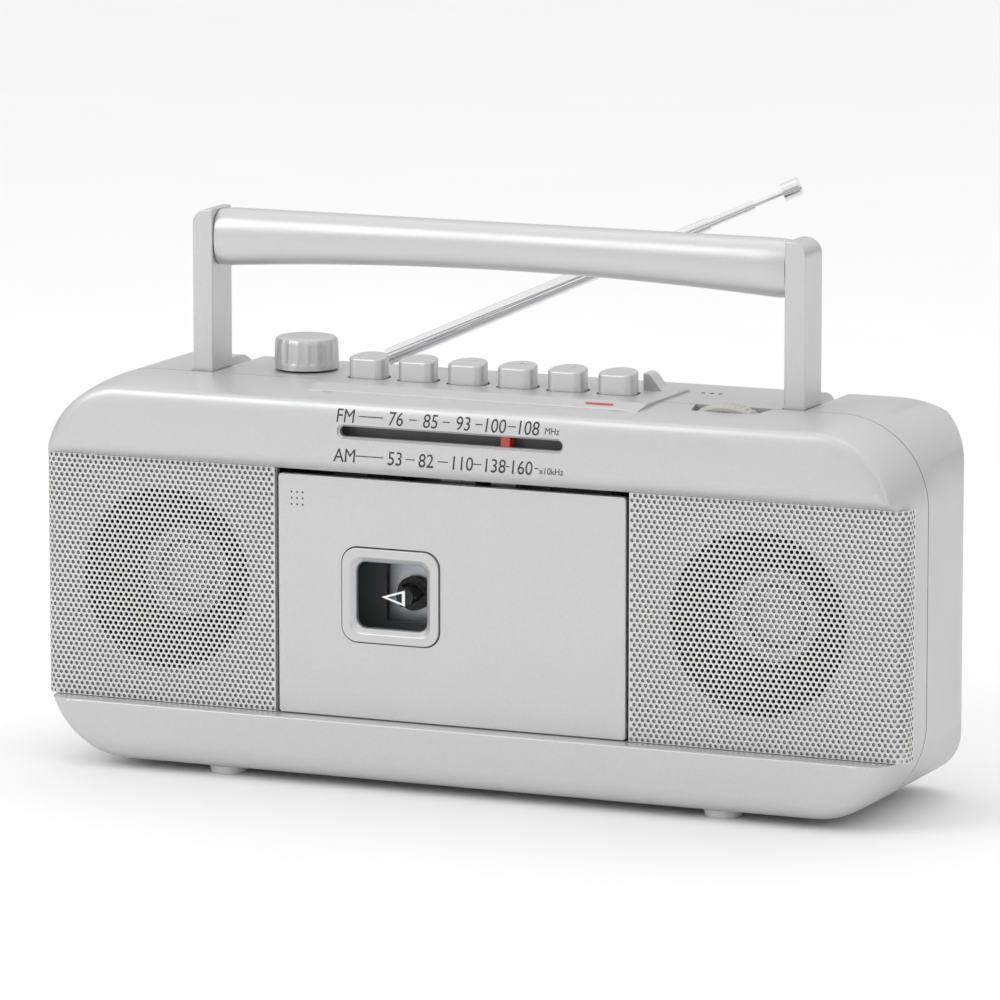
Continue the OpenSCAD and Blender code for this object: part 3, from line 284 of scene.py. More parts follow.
def evaluated(obj):
    """Applies an object's modifiers to its mesh."""
    deps = bpy.context.evaluated_depsgraph_get()
    mesh = bpy.data.meshes.new_from_object(obj.evaluated_get(deps))
    obj.modifiers.clear()
    old = obj.data
    obj.data = mesh
    bpy.data.meshes.remove(old)
    return obj


def cut(obj, *cutters, operation="DIFFERENCE"):
    """Takes the cutters away from the object, then deletes them."""
    for cutter in cutters:
        mod = obj.modifiers.new("cut", "BOOLEAN")
        mod.operation = operation
        mod.solver = "EXACT"
        mod.object = cutter
        evaluated(obj)
        bpy.data.objects.remove(cutter)
    finish_shading(obj.data)
    return obj


def soften(obj, width, segments=2, limit=40, angle=32):
    """Rounds the edges that are sharper than the limit."""
    mod = obj.modifiers.new("soften", "BEVEL")
    mod.width = width * MM
    mod.segments = segments
    mod.limit_method = "ANGLE"
    mod.angle_limit = math.radians(limit)
    mod.use_clamp_overlap = True
    evaluated(obj)
    finish_shading(obj.data, angle)
    return obj


def refined(node, name, mat, width=0.3, segments=2, angle=32):
    """A copy of a CAD node with rounded edges and smooth curves, to stand for it."""
    mesh = frame["nodes"][node].data.copy()
    bm = bmesh.new()
    bm.from_mesh(mesh)
    bmesh.ops.remove_doubles(bm, verts=bm.verts, dist=2e-6)
    bmesh.ops.dissolve_limit(bm, angle_limit=math.radians(0.6), verts=bm.verts, edges=bm.edges)
    bm.to_mesh(mesh)
    bm.free()
    obj = link_mesh(name, mesh, mat, angle)
    if width:
        soften(obj, width, segments, angle=angle)
    return obj


def lathe(name, profile, centre, axis, mat, steps=72, angle=32, radius=None):
    """Turns (r, t) points round an axis from the centre; radius(r, turn, t) may shape the round."""
    axis = Vector(axis).normalized()
    side = axis.orthogonal().normalized()
    up = axis.cross(side)
    rings = []
    for r, t in profile:
        ring = []
        for k in range(steps):
            turn = TAU * k / steps
            reach = radius(r, turn, t) if radius else r
            p = Vector(centre) + axis * t + side * (reach * math.cos(turn)) + up * (reach * math.sin(turn))
            ring.append(tuple(p))
        rings.append(ring)
    return loft(name, rings, mat, angle)


def joined(name, objs):
    """One piece from several."""
    bm = bmesh.new()
    for o in objs:
        bm.from_mesh(o.data)
    mesh = bpy.data.meshes.new(name)
    bm.to_mesh(mesh)
    bm.free()
    mat = objs[0].data.materials[0]
    for o in objs:
        bpy.data.objects.remove(o)
    return link_mesh(name, mesh, mat)


def settle(obj, body, slot, *nodes):
    """Says what a new piece rides on and the CAD nodes that it stands for; its finish (slot) is not used."""
    if len(obj.data.polygons) < 40000:
        mod = obj.modifiers.new("flat_faces", "WEIGHTED_NORMAL")
        mod.keep_sharp = True
        evaluated(obj)
    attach(obj, body)
    if nodes:
        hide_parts(*nodes)
    return obj


# ---------------------------------------------------------------- casing

# Depth and how far the top and ends draw in there, from the seam to the nose
FRONT_CURVE = ((-14.15, 0.0), (-16, 0.03), (-20, 0.15), (-24, 0.35), (-28, 0.62), (-32, 1.0), (-36, 1.5),
               (-39, 1.97), (-41, 2.38), (-41.9, 2.7), (-42.5, 3.2), (-42.95, 4.0), (-43.3, 5.2),
               (-43.55, 7.0), (-43.75, 9.0), (-43.9, 11.5), (-43.97, 14.0), (-44, 17.0))
BASE_R = 8


def casing_ring(y, inset, extra=0.0):
    """The casing's outline at a depth, drawn in by inset at the top and ends."""
    depth = y - NOSE_Y
    low = 0.0
    if depth < BASE_R:
        low = BASE_R - math.sqrt(max(0, BASE_R ** 2 - (BASE_R - depth) ** 2))
    r = CORNER_R - inset - extra
    outline = round_outline(-END_X + inset + extra, END_X - inset - extra, BASE_Z + low + extra,
                            TOP_Z - inset - extra, r, 20, CORNER_R - max(inset, low) - extra)
    return [(x, y, z) for x, z in outline]


def casing_front():
    shell = loft("casing_front", [casing_ring(y, i) for y, i in FRONT_CURVE], M["casing"])
    inner = [casing_ring(SEAM_Y + 3, 0, WALL)]
    inner += [casing_ring(y + (WALL if y < -40 else 0), i, WALL) for y, i in FRONT_CURVE[1:14]
              if not -41 < y < -38]
    hollow = loft("cutter", inner, CUTTER)
    cut(hollow, block((-END_X - 9, NOSE_Y - 9, RECESS_Z0 - WALL),
                      (END_X + 9, BAFFLE_Y + WALL, RECESS_Z1 + WALL)))
    cut(shell, hollow, recess_cutter())
    cut(shell, block((DOOR_LO.x - 1, NOSE_Y - 9, RECESS_Z0 + 0.02),
                     (DOOR_HI.x + 1, BAFFLE_Y + 6, RECESS_Z1 - 0.02)))
    for node in ("left_speaker_cone", "right_speaker_cone"):
        lo, hi = span(node)
        centre = ((lo.x + hi.x) / 2, (lo.z + hi.z) / 2)
        cut(shell, prism(circle(32, 96, centre), NOSE_Y - 9, BAFFLE_Y + 5))
    dial = span("dial_backplate")
    slot = round_outline(dial[0].x + 6.6, dial[1].x - 5.5, dial[0].z + 3.8, dial[0].z + 7.4, 1.75, 8)
    cut(shell, prism(slot, NOSE_Y - 9, NOSE_Y + WALL + 2))
    scoop = [[(x, y, z) for x, z in grown(slot, d)]
             for y, d in ((NOSE_Y - 2, 1.6), (NOSE_Y + 0.15, 0.7), (NOSE_Y + 1.0, 0.05))]
    cut(shell, loft("cutter", scoop, CUTTER))
    wheel = span("tuning_wheel")
    x = (wheel[0].x + wheel[1].x) / 2
    cut(shell, prism([(x - 15, SEAM_Y + 2), (x - 11.6, wheel[0].y - 1.1), (x + 11.6, wheel[0].y - 1.1),
                      (x + 15, SEAM_Y + 2)][::-1], TOP_Z - 8, TOP_Z + 9, "z"))
    panel = span("key_panel")
    cut(shell, block((panel[0].x + 3, span("pause_key")[0].y - 0.6, TOP_Z - 12),
                     (panel[1].x - 3, SEAM_Y + 1, TOP_Z + 5)))
    for side in (-1, 1):
        cut(shell, wrap_cutter(side, span("left_grille")[1].y + 0.4))
    soften(shell, 0.3, 2, 38)
    return settle(shell, "body", "casing", "front_casing")


def wrap_cutter(side, wrap_end):
    """Room at the casing's end for the grille, which bends round it."""
    edge, r = END_X - 0.3, GRILLE_BEND
    outline = [(side * (edge + 9), BAFFLE_Y - 1), (side * (edge - r), BAFFLE_Y - 1)]
    outline += [(side * (edge - r + r * math.sin(t)), BAFFLE_Y + r - r * math.cos(t))
                for t in (math.pi / 2 * k / 8 for k in range(9))]
    outline += [(side * edge, wrap_end), (side * (edge + 9), wrap_end)]
    return prism(outline, RECESS_Z0 + 0.03, RECESS_Z1 - 0.03, "z")


def recess_cutter():
    """The door and grille recess: the fascia above curves back into it."""
    r = 6.6
    cy, cz = NOSE_Y + r, RECESS_Z1 + r
    profile = [(NOSE_Y - 15, RECESS_Z0 - 0.7), (NOSE_Y - 0.1, RECESS_Z0 - 0.7)]
    profile += [(NOSE_Y + 0.7 - 0.7 * math.cos(t), RECESS_Z0 - 0.7 + 0.7 * math.sin(t))
                for t in (math.pi / 8 * k for k in range(1, 5))]
    profile += [(BAFFLE_Y, RECESS_Z0), (BAFFLE_Y, RECESS_Z1)]
    profile += [(cy - r * math.sin(t), cz - r * math.cos(t))
                for t in (math.pi / 2 * k / 12 for k in range(13))]
    profile += [(NOSE_Y - 15, cz)]
    return prism(profile, -END_X - 9, END_X + 9, "x")


def casing_rear():
    shell = refined("rear_casing", "casing_rear", M["casing"], 0.35)
    return settle(shell, "body", "casing", "rear_casing")


# ---------------------------------------------------------------- grilles

HOLE_R = 0.70
PITCH_X, PITCH_Z = 2.05, 1.73
GRILLE_BEND = 4.4
SHEET_T = 0.8


def bent(s, n, inner_x, side, front_y, turn_at, bend_r):
    """A point of the sheet: s runs from its inner edge outwards, then back round the casing's end."""
    arc = bend_r * math.pi / 2
    if s <= turn_at:
        x, y, nx, ny = s, 0.0, 0.0, -1.0
    elif s <= turn_at + arc:
        t = (s - turn_at) / bend_r
        x, y = turn_at + bend_r * math.sin(t), bend_r * (1 - math.cos(t))
        nx, ny = math.sin(t), -math.cos(t)
    else:
        x, y, nx, ny = turn_at + bend_r, bend_r + s - turn_at - arc, 1.0, 0.0
    return inner_x + side * (x + nx * n), front_y + y + ny * n


def grille_sheet(name, node, side):
    lo, hi = span(node)
    inner_x = (hi.x if side < 0 else lo.x) + side * 0.25
    outer = abs((lo.x if side < 0 else hi.x) - inner_x) - SHEET_T / 2
    bend_r = GRILLE_BEND
    turn_at = outer - bend_r
    front_y = lo.y + SHEET_T / 2
    length = turn_at + bend_r * math.pi / 2 + (hi.y - front_y - bend_r)
    low_z = DOOR_LO.z
    height = hi.z + 0.15 - low_z
    cols, rows = round(length / PITCH_X), round(height / PITCH_Z)
    px, pz = length / cols, height / rows
    verts, faces, index = [], [], {}

    def vert(s, t, n):
        key = (round(s * 1000), round(t * 1000), n)
        if key not in index:
            index[key] = len(verts)
            x, y = bent(s, n * SHEET_T / 2, inner_x, side, front_y, turn_at, bend_r)
            verts.append((x, y, low_z + t))
        return index[key]

    def cell(s0, t0):
        rim = [(s0 + px, t0 + pz / 2), (s0 + px, t0 + pz), (s0 + 0.75 * px, t0 + pz), (s0 + px / 2, t0 + pz),
               (s0 + px / 4, t0 + pz), (s0, t0 + pz), (s0, t0 + pz / 2), (s0, t0), (s0 + px / 4, t0),
               (s0 + px / 2, t0), (s0 + 0.75 * px, t0), (s0 + px, t0)]
        hole = [(s0 + px / 2 + HOLE_R * math.cos(TAU * k / 12),
                 t0 + pz / 2 + HOLE_R * math.sin(TAU * k / 12)) for k in range(12)]
        for n in (1, -1):
            o, h = [vert(*p, n) for p in rim], [vert(*p, n) for p in hole]
            for k in range(12):
                j = (k + 1) % 12
                faces.append((o[k], o[j], h[j], h[k]) if n > 0 else (h[k], h[j], o[j], o[k]))
        a, b = [vert(*p, 1) for p in hole], [vert(*p, -1) for p in hole]
        faces.extend((a[k], a[(k + 1) % 12], b[(k + 1) % 12], b[k]) for k in range(12))

    def blank(s0, t0):
        rim = [(s0, t0), (s0 + px / 4, t0), (s0 + px / 2, t0), (s0 + px / 2, t0 + pz / 2),
               (s0 + px / 2, t0 + pz), (s0 + px / 4, t0 + pz), (s0, t0 + pz), (s0, t0 + pz / 2)]
        faces.append(tuple(vert(*p, 1) for p in rim))
        faces.append(tuple(vert(*p, -1) for p in rim)[::-1])

    for row in range(rows):
        shift = px / 2 if row % 2 else 0
        for col in range(cols - (row % 2)):
            cell(col * px + shift, row * pz)
        if row % 2:
            blank(0, row * pz)
            blank(length - px / 2, row * pz)
    keys = list(index)
    used = {(f[k], f[(k + 1) % len(f)]) for f in faces for k in range(len(f))}
    for a, b in sorted(used):
        if (b, a) not in used and keys[a][2] == 1 and keys[b][2] == 1:
            faces.append((b, a, index[(*keys[a][:2], -1)], index[(*keys[b][:2], -1)]))
    return settle(piece(name, verts, faces, M["grille"], 28), "body", "grille_metal", node)


# ---------------------------------------------------------------- cassette door

def cassette_door():
    lo, hi = DOOR_LO, DOOR_HI
    flo, fhi = span("window_frame")
    outline = round_outline(lo.x, hi.x, lo.z, hi.z, 1.2, 5)
    door = plate("door_panel", outline, lo.y, lo.y + 2.6, M["trim"], 0.5, 4)
    hole = round_outline(flo.x - 0.6, fhi.x + 0.2, flo.z - 0.1, fhi.z + 0.2, 6.0, 8)
    cut(door, prism(hole, lo.y - 5, lo.y + 9))
    soften(door, 0.2, 2, 60)
    back = refined("cassette_door", "door_back", M["grey"], 0)
    cut(back, block((lo.x - 1, lo.y - 1, lo.z - 5), (hi.x + 1, lo.y + 2.7, hi.z + 5)))
    settle(back, "door", "silver_trim")
    settle(door, "door", "silver_trim", "cassette_door")
    window(flo, fhi, lo.y)
    dots = [plate("dot", circle(0.36, 12, (DOOR_LO.x + 5.2 + 2.1 * i, DOOR_HI.z - 10.6 + 2.15 * j)),
                  lo.y - 0.03, lo.y + 0.3, M["print_dark"], 0.01, 1) for i in range(3) for j in range(3)]
    settle(joined("door_dots", dots), "door", "black_plastic")


def window(flo, fhi, face_y):
    def ring(y, d, r):
        edge = round_outline(flo.x - 0.2 + d, fhi.x - 0.2 - d, flo.z + 0.3 + d, fhi.z - 0.2 - d, r, 8)
        return [(x, y, z) for x, z in edge]

    rings = [ring(face_y + y, d, r) for y, d, r in
             ((2.4, 0, 5.6), (-0.3, 0, 5.6), (-0.6, 0.12, 5.5), (-0.75, 0.5, 5.2), (-0.75, 2.7, 4.2),
              (-0.62, 3.1, 4.0), (-0.3, 3.4, 3.9), (1.0, 4.9, 3.4), (2.4, 5.0, 3.4))]
    frame_ring = loft("window_ring", rings, M["trim"], 30, closed=True)
    settle(frame_ring, "door", "silver_trim", "window_frame")
    inside = [(x, z) for x, _, z in ring(0, 4.6, 3.6)]
    glass = plate("door_window", inside, face_y + 0.7, face_y + 1.9, M["clear"], 0.15, 2)
    settle(glass, "door", "clear", "door_window")
    cx, cz = (flo.x + fhi.x) / 2, (flo.z + fhi.z) / 2
    tip, base = (cx - 4.0, cz - 0.2), (cx + 4.9, cz - 3.0, cz + 2.6)
    y = face_y + 0.62
    big = [(tip[0], tip[1]), (base[0], base[1]), (base[0], base[2])]
    middle = (sum(p[0] for p in big) / 3, sum(p[1] for p in big) / 3)
    small = [(middle[0] + (x - middle[0]) * 0.62, middle[1] + (z - middle[1]) * 0.62) for x, z in big]
    rings = [[(x, yy, z) for x, z in pts]
             for pts, yy in ((big, y + 0.06), (big, y), (small, y), (small, y + 0.06))]
    settle(loft("window_mark", rings, M["print_white"], 30, closed=True), "door", "clear")


def cassette_pocket():
    """The holder behind the window: a dark pocket with a ledge at its foot."""
    holder = refined("cassette_holder", "cassette_holder", M["grey"], 0.2)
    settle(holder, "door", "grey_plastic", "cassette_holder")


# ---------------------------------------------------------------- keys and their panel

KEY_PROFILE = ((TOP_Z - 3, 0.0), (TOP_Z + 7.3, 0.0), (TOP_Z + 7.75, 0.1), (TOP_Z + 8.05, 0.35),
               (TOP_Z + 8.2, 0.75))
KEY_RISE = 1.2


def key_plan(lo, hi):
    """A key's plan: a flat front with rounded corners and a round back."""
    x0, x1, y0, y1 = lo.x, hi.x, hi.y - 11.6, hi.y
    r, back = 3.0, 6.8
    quarter = [math.pi / 2 * k / 8 for k in range(9)]
    points = [(x0 + r - r * math.cos(t), y0 + r - r * math.sin(t)) for t in quarter]
    points += [(x1 - r + r * math.sin(t), y0 + r - r * math.cos(t)) for t in quarter]
    cx, half = (x0 + x1) / 2, (x1 - x0) / 2
    points += [(cx + half * math.cos(t), y1 - back + back * math.sin(t))
               for t in (math.pi * k / 20 for k in range(21))]
    return points


def key(node):
    lo, hi = span(node)
    plan = key_plan(lo, hi)
    front = hi.y - 11.6
    rings = [[(x, y, z + (KEY_RISE * (y - front) / 11.6 if z > 140 else 0)) for x, y in grown(plan, -inset)]
             for z, inset in KEY_PROFILE]
    cap = loft(node + "_cap", rings, M["trim"], 28)
    body = next(b for b, nodes in frame["record"]["behaviour"]["bodies"].items() if node in nodes)
    stem = refined(node, node + "_stem", M["black"], 0)
    cut(stem, block((lo.x - 1, lo.y - 1, 134.8), (hi.x + 1, hi.y + 1, hi.z + 5)))
    settle(stem, body, "black_plastic")
    settle(cap, body, "silver_trim", node)
    symbols(node, body, (lo.x + hi.x) / 2, front)


def tri(x, z, d, s=1.0):
    """A triangle that points along d (-1 left, 1 right)."""
    return [(x - d * s, z - 1.15 * s), (x + d * s, z), (x - d * s, z + 1.15 * s)]


def symbols(node, body, x, front):
    """The key's own mark on its top, raised a hair's breadth."""
    y = front + 7.6
    shapes = {
        "pause_key": [[(x - 1.2, y - 1.2), (x - 0.4, y - 1.2), (x - 0.4, y + 1.2), (x - 1.2, y + 1.2)],
                      [(x + 0.4, y - 1.2), (x + 1.2, y - 1.2), (x + 1.2, y + 1.2), (x + 0.4, y + 1.2)]],
        "stop_eject_key": [[(x - 3.2, y - 1), (x - 1.2, y - 1), (x - 1.2, y + 1), (x - 3.2, y + 1)],
                           [(x + 1.0, y - 0.3), (x + 3.4, y - 0.3), (x + 2.2, y + 1.2)],
                           [(x + 1.0, y - 1.1), (x + 3.4, y - 1.1), (x + 3.4, y - 0.7), (x + 1.0, y - 0.7)]],
        "forward_key": [tri(x - 1.1, y, 1), tri(x + 1.1, y, 1)],
        "rewind_key": [tri(x - 1.1, y, -1), tri(x + 1.1, y, -1)],
        "play_key": [tri(x, y, -1, 1.15)],
        "record_key": [circle(1.25, 20, (x, y))],
    }[node]
    top = KEY_PROFILE[-1][0]
    parts = []
    for outline in shapes:
        rings = [[(a, b, top + lift + KEY_RISE * (b - front) / 11.6) for a, b in grown(outline, d)]
                 for lift, d in ((-0.3, 0), (0.06, 0), (0.12, -0.07))]
        parts.append(loft("mark", rings, M["pale"]))
    settle(joined(node + "_mark", parts), body, "silver_trim")


def key_panel():
    """The panel round the keys: a plateau, with a glossy slope to a rounded lip in front."""
    lo, hi = span("key_panel")
    section = [(lo.y + y, TOP_Z + z) for y, z in
               ((-6.3, -1.6), (-6.75, -1.1), (-6.7, -0.7), (-6.3, -0.38), (-5.7, -0.34), (-0.9, 0.85),
                (-0.2, 1.12), (0.4, 1.2), (37.2, 1.2), (37.8, 1.0), (38.1, 0.6), (38.1, -1.6))]
    widest_y = lo.y + 19.5

    def ends(y):
        t = (y - lo.y + 6.7) / 26.2
        wide = hi.x + 5.85
        right = min(wide - 3.1 + 3.1 * t, wide) if y < widest_y else wide - 0.1 * (y - widest_y)
        return lo.x - 1.35 - 0.3 * t, right

    rings = []
    for k in range(25):
        u = k / 24
        inset = 0.35 if k in (0, 24) else 0
        ring = []
        for y, z in section:
            left, right = ends(y)
            ring.append((left + (right - left) * u, y, z - (inset if z > TOP_Z - 1 else 0)))
        rings.append(ring)
    panel = loft("key_panel", rings, M["trim"], 26)
    for node in KEYS:
        klo, khi = span(node)
        cut(panel, prism(grown(key_plan(klo, khi), 0.75), TOP_Z - 8, TOP_Z + 12, "z"))
    soften(panel, 0.18, 2, 50)
    settle(panel, "body", "silver_trim", "key_panel")
    record_lo, record_hi = span("record_key")
    front, back = record_lo.y - 1.9, record_hi.y + 1.9
    floor = [(lo.x + 3, front), (hi.x - 3, front), (hi.x - 3, back), (lo.x + 3, back)]
    well = plate_z("key_well", floor, TOP_Z - 1, TOP_Z - 0.5, M["black"])
    for node in KEYS:
        cut(well, prism(grown(key_plan(*span(node)), 0.2), TOP_Z - 8, TOP_Z + 12, "z"))
    settle(well, "body", "black_plastic")
    left, right, foot = hi.x - 9.15, hi.x + 3.45, TOP_Z + 0.4
    curve = [(left + 1.5 + 6.6 * t, TOP_Z + 7 - 5.9 * (3 * t * t - 2 * t ** 3))
             for t in (k / 12 for k in range(13))]
    cheek = [(left, foot), (right, foot), (right, hi.z)] + curve[::-1] + [(left, TOP_Z + 7)]
    wall = loft("key_cheek", [[(x, y, z) for x, z in cheek] for y in (hi.y - 3, hi.y + 3.8)], M["trim"], 26)
    soften(wall, 0.45, 3, 50)
    settle(wall, "body", "silver_trim")
    bar = round_outline(record_lo.x + 2.55, record_lo.x + 12.75, lo.y - 3.6, lo.y - 2.3, 0.6, 4)
    mark = plate_z("record_mark", bar, TOP_Z + 0.1, TOP_Z + 0.5, M["red"])
    for vertex in mark.data.vertices:
        vertex.co.z += (lo.y - 3.0 - vertex.co.y / MM) * -0.246 * MM
    settle(mark, "body", "red_plastic")


def plate_z(name, outline, z0, z1, mat):
    """A flat plate from an (x, y) outline."""
    return loft(name, [[(x, y, z) for x, y in outline] for z in (z0, z1)], mat)


# ---------------------------------------------------------------- knob, wheel, microphone

def volume_knob():
    lo, hi = span("volume_knob")
    r = (hi.x - lo.x) / 2
    z0, z1 = lo.z, hi.z
    profile = [(r - 0.8, z0), (r, z0 + 0.3), (r, z0 + 1.9), (r - 0.02, z0 + 2.4), (r - 0.05, z0 + 3.2),
               (r - 0.2, z1 - 2.4), (r - 0.35, z1 - 1.4), (r - 0.8, z1 - 0.7), (r - 1.6, z1 - 0.25),
               (r - 2.8, z1 - 0.04), (r - 4.5, z1)]

    def fluted(reach, turn, t):
        fade = max(0.0, min(1.0, (t - z0 - 2.1) / 0.8)) * max(0.0, min(1.0, (z1 - 0.3 - t) / 1.6))
        return reach - 0.38 * fade * (0.5 - 0.5 * math.cos(20 * turn)) ** 0.6

    centre = ((lo.x + hi.x) / 2, (lo.y + hi.y) / 2, 0)
    knob = lathe("volume_knob", profile, centre, (0, 0, 1), M["trim"], 240, 26, fluted)
    settle(knob, "volume", "silver_trim", "volume_knob")


def tuning_wheel():
    lo, hi = span("tuning_wheel")
    r, y0, y1 = (hi.x - lo.x) / 2, lo.y, hi.y
    profile = [(r - 9, y0 + 0.8), (r - 3.2, y0 + 0.8), (r - 2.6, y0 + 0.1), (r - 1.3, y0),
               (r - 0.5, y0 + 0.35), (r, y0 + 0.9), (r, y1 - 0.9), (r - 0.5, y1 - 0.35), (r - 1.3, y1),
               (r - 2.6, y1), (r - 9, y1)]

    def knurled(reach, turn, t):
        on_rim = max(0.0, min(1.0, (reach - r + 0.6) / 0.5))
        return reach - 0.4 * on_rim * (0.5 - 0.5 * math.cos(60 * turn))

    centre = ((lo.x + hi.x) / 2, 0, (lo.z + hi.z) / 2)
    wheel = lathe("tuning_wheel", profile, centre, (0, 1, 0), M["cream"], 480, 26, knurled)
    disc = [(2, y0 + 1), (11.5, y0 + 1), (11.5, y1 - 0.2), (2, y1 - 0.2)]
    hub = lathe("tuning_wheel_hub", disc, centre, (0, 1, 0), M["cream"], 48)
    settle(hub, "tuning", "cream_plastic")
    settle(wheel, "tuning", "cream_plastic", "tuning_wheel")


def microphone():
    lo, hi = span("microphone")
    x, y = (lo.x + hi.x) / 2, (lo.y + hi.y) / 2
    outline = round_outline(x - 5.6, x + 5.6, y - 1.9, y + 1.9, 1.88, 8)
    rings = [[(a, b, z) for a, b in grown(outline, d)] for z, d in
             ((TOP_Z - 1, 0), (TOP_Z + 0.25, 0), (TOP_Z + 0.42, -0.15), (TOP_Z + 0.45, -0.4))]
    cover = loft("microphone_cover", rings, M["trim"])
    for k in (-1, 0, 1):
        cut(cover, prism(circle(0.75, 20, (x + 3.2 * k, y)), TOP_Z - 0.6, TOP_Z + 3, "z"))
    settle(cover, "body", "silver_trim")
    dots = [lathe("dot", [(0.74, TOP_Z - 0.58), (0.74, TOP_Z + 0.1)], (x + 3.2 * k, y, 0), (0, 0, 1),
                  M["black"], 20) for k in (-1, 0, 1)]
    settle(joined("microphone_holes", dots), "body", "black_plastic")


# ---------------------------------------------------------------- handle

def handle():
    for side, s in (("left", -1), ("right", 1)):
        node = "handle_arm_" + side
        lo, hi = span(node)
        r = (hi.y - lo.y) / 2
        cy = (lo.y + hi.y) / 2
        outline = [(cy + r * math.sin(t), lo.z + r - r * math.cos(t))
                   for t in (math.pi * (k / 16 - 0.5) for k in range(17))]
        outline += [(hi.y, hi.z), (lo.y, hi.z)]
        arm = loft(node, [[(x, y, z) for y, z in outline] for x in (lo.x, hi.x)], M["trim"])
        out, corner = (lo.x, lo.x + 5.5) if s < 0 else (hi.x, hi.x - 5.5)
        waste = [(out - s * 5.5 + s * 5.5 * math.sin(t), hi.z - 5.5 + 5.5 * math.cos(t))
                 for t in (math.pi / 2 * k / 10 for k in range(11))]
        waste += [(out + s, hi.z - 5.5), (out + s, hi.z + 1), (corner, hi.z + 1)]
        cut(arm, prism(waste, lo.y - 1, hi.y + 1))
        soften(arm, 0.55, 3, 30)
        settle(arm, "handle", "silver_trim", node)
    lo, hi = span("handle_grip")
    cy = (lo.y + hi.y) / 2
    rings = []
    for k in range(49):
        u = k / 48
        x = lo.x + 0.3 + (hi.x - lo.x - 0.6) * u
        z0 = lo.z + 4.1 * (1 - (2 * u - 1) ** 2)
        edge = 0.5 if k in (0, 48) else 0
        half_y, half_z, cz = (hi.y - lo.y) / 2 - 0.2 - edge, (hi.z - z0) / 2 - edge, (hi.z + z0) / 2
        ring = []
        for j in range(64):
            t = TAU * j / 64
            c, d = math.cos(t), math.sin(t)
            ring.append((x, cy + half_y * math.copysign(abs(c) ** 0.8, c),
                         cz + half_z * math.copysign(abs(d) ** 0.8, d)))
        rings.append(ring)
    settle(loft("handle_grip", rings, M["trim"], 40), "handle", "silver_trim", "handle_grip")
    settle(refined("handle_pivots", "handle_pivots", M["steel"], 0.2), "body" if "handle_pivots" in
           frame["record"]["behaviour"]["bodies"]["body"] else "handle", "steel", "handle_pivots")


# ---------------------------------------------------------------- antenna

def antenna():
    bodies = frame["record"]["behaviour"]["bodies"]
    for node in ("antenna_swivel", "antenna_pin", "antenna_tube_1", "antenna_tube_2", "antenna_tube_3",
                 "antenna_tip"):
        body = next(b for b, nodes in bodies.items() if node in nodes)
        settle(refined(node, node, M["chrome"], 0.15, 2, 40), body, "chrome", node)


# ---------------------------------------------------------------- dial

def text_piece(name, words, x, y, z, size, lean=0.2, thick=0.04, stretch=1.0):
    """Thin raised print on an upright face, its left end and baseline at (x, z)."""
    curve = bpy.data.curves.new(name, "FONT")
    curve.body = words
    curve.size = size * MM
    curve.shear = lean
    curve.extrude = thick * MM
    curve.resolution_u = 4
    temp = bpy.data.objects.new(name, curve)
    bpy.context.scene.collection.objects.link(temp)
    deps = bpy.context.evaluated_depsgraph_get()
    mesh = bpy.data.meshes.new_from_object(temp.evaluated_get(deps))
    bpy.data.objects.remove(temp)
    mesh.transform(Matrix.Translation((x * MM, y * MM, z * MM)) @ Matrix.Rotation(math.pi / 2, 4, "X")
                   @ Matrix.Diagonal((stretch, 1, 1, 1)))
    bm = bmesh.new()
    bm.from_mesh(mesh)
    for k in range(1, 12):
        bmesh.ops.bisect_plane(bm, geom=bm.verts[:] + bm.edges[:] + bm.faces[:],
                               plane_co=(0, 0, (z - 0.5 + 0.5 * k) * MM), plane_no=(0, 0, 1))
    bm.to_mesh(mesh)
    bm.free()
    for v in mesh.vertices:
        v.co.y += (face_y_at(v.co.z / MM) - y) * MM
    tidy_mesh(mesh)
    return mesh


def face_y_at(z):
    """Depth of the fascia's face at a height."""
    inset = TOP_Z - z
    for (ya, ia), (yb, ib) in zip(FRONT_CURVE, FRONT_CURVE[1:]):
        if ia <= inset <= ib:
            return ya + (yb - ya) * (inset - ia) / (ib - ia)
    return NOSE_Y


# each row: its baseline above the dial's foot, then, from the dial's middle, its words' left ends,
# its unit and its dashes' ends
FM_ROW = (8.8, (("FM", -42.2), ("76", -22.6), ("85", -9.6), ("93", 2.6), ("100", 12.7), ("108", 25.0)),
          ("MHz", 35.6),
          ((-33.4, -24.2), (-14.6, -11.6), (-2.0, 0.6), (10.2, 12.8), (22.2, 25.2)))
AM_ROW = (-4.9, (("AM", -43.0), ("53", -22.8), ("82", -11.2), ("110", 0.6), ("138", 12.7), ("160", 22.6)),
          ("x10kHz", 33.8),
          ((-34.5, -24.0), (-15.7, -12.2), (-3.7, 0.1), (9.4, 12.6), (21.5, 23.0), (32.2, 33.6)))
DIGIT_SIZE, UNIT_SIZE = 6.8, 3.3


def dial_scale():
    meshes = []
    lo, hi = span("dial_backplate")
    middle = (lo.x + hi.x) / 2
    for rise, words, unit, dashes in (FM_ROW, AM_ROW):
        z = lo.z + rise
        y = face_y_at(z + 2.4) - 0.04
        for word, x in (*words, unit):
            size, lift = (UNIT_SIZE, 0.6) if word == unit[0] else (DIGIT_SIZE, 0)
            mesh = text_piece("scale", word, middle + x, y, z + lift, size, lean=0.12, stretch=0.86)
            meshes.append(bpy.data.objects.new("scale", mesh))
            mesh.materials.clear()
            mesh.materials.append(M["print_dark"])
        for x0, x1 in dashes:
            dy = face_y_at(z + 2.3) - 0.05
            x0, x1 = middle + x0, middle + x1
            line = [(x0, z + 2.2), (x1, z + 2.2), (x1, z + 2.55), (x0, z + 2.55)]
            dash = plate("dash", line, dy, dy + 0.1, M["print_dark"], 0.01, 1)
            meshes.append(dash)
    settle(joined("dial_scale", meshes), "body", "black_plastic")


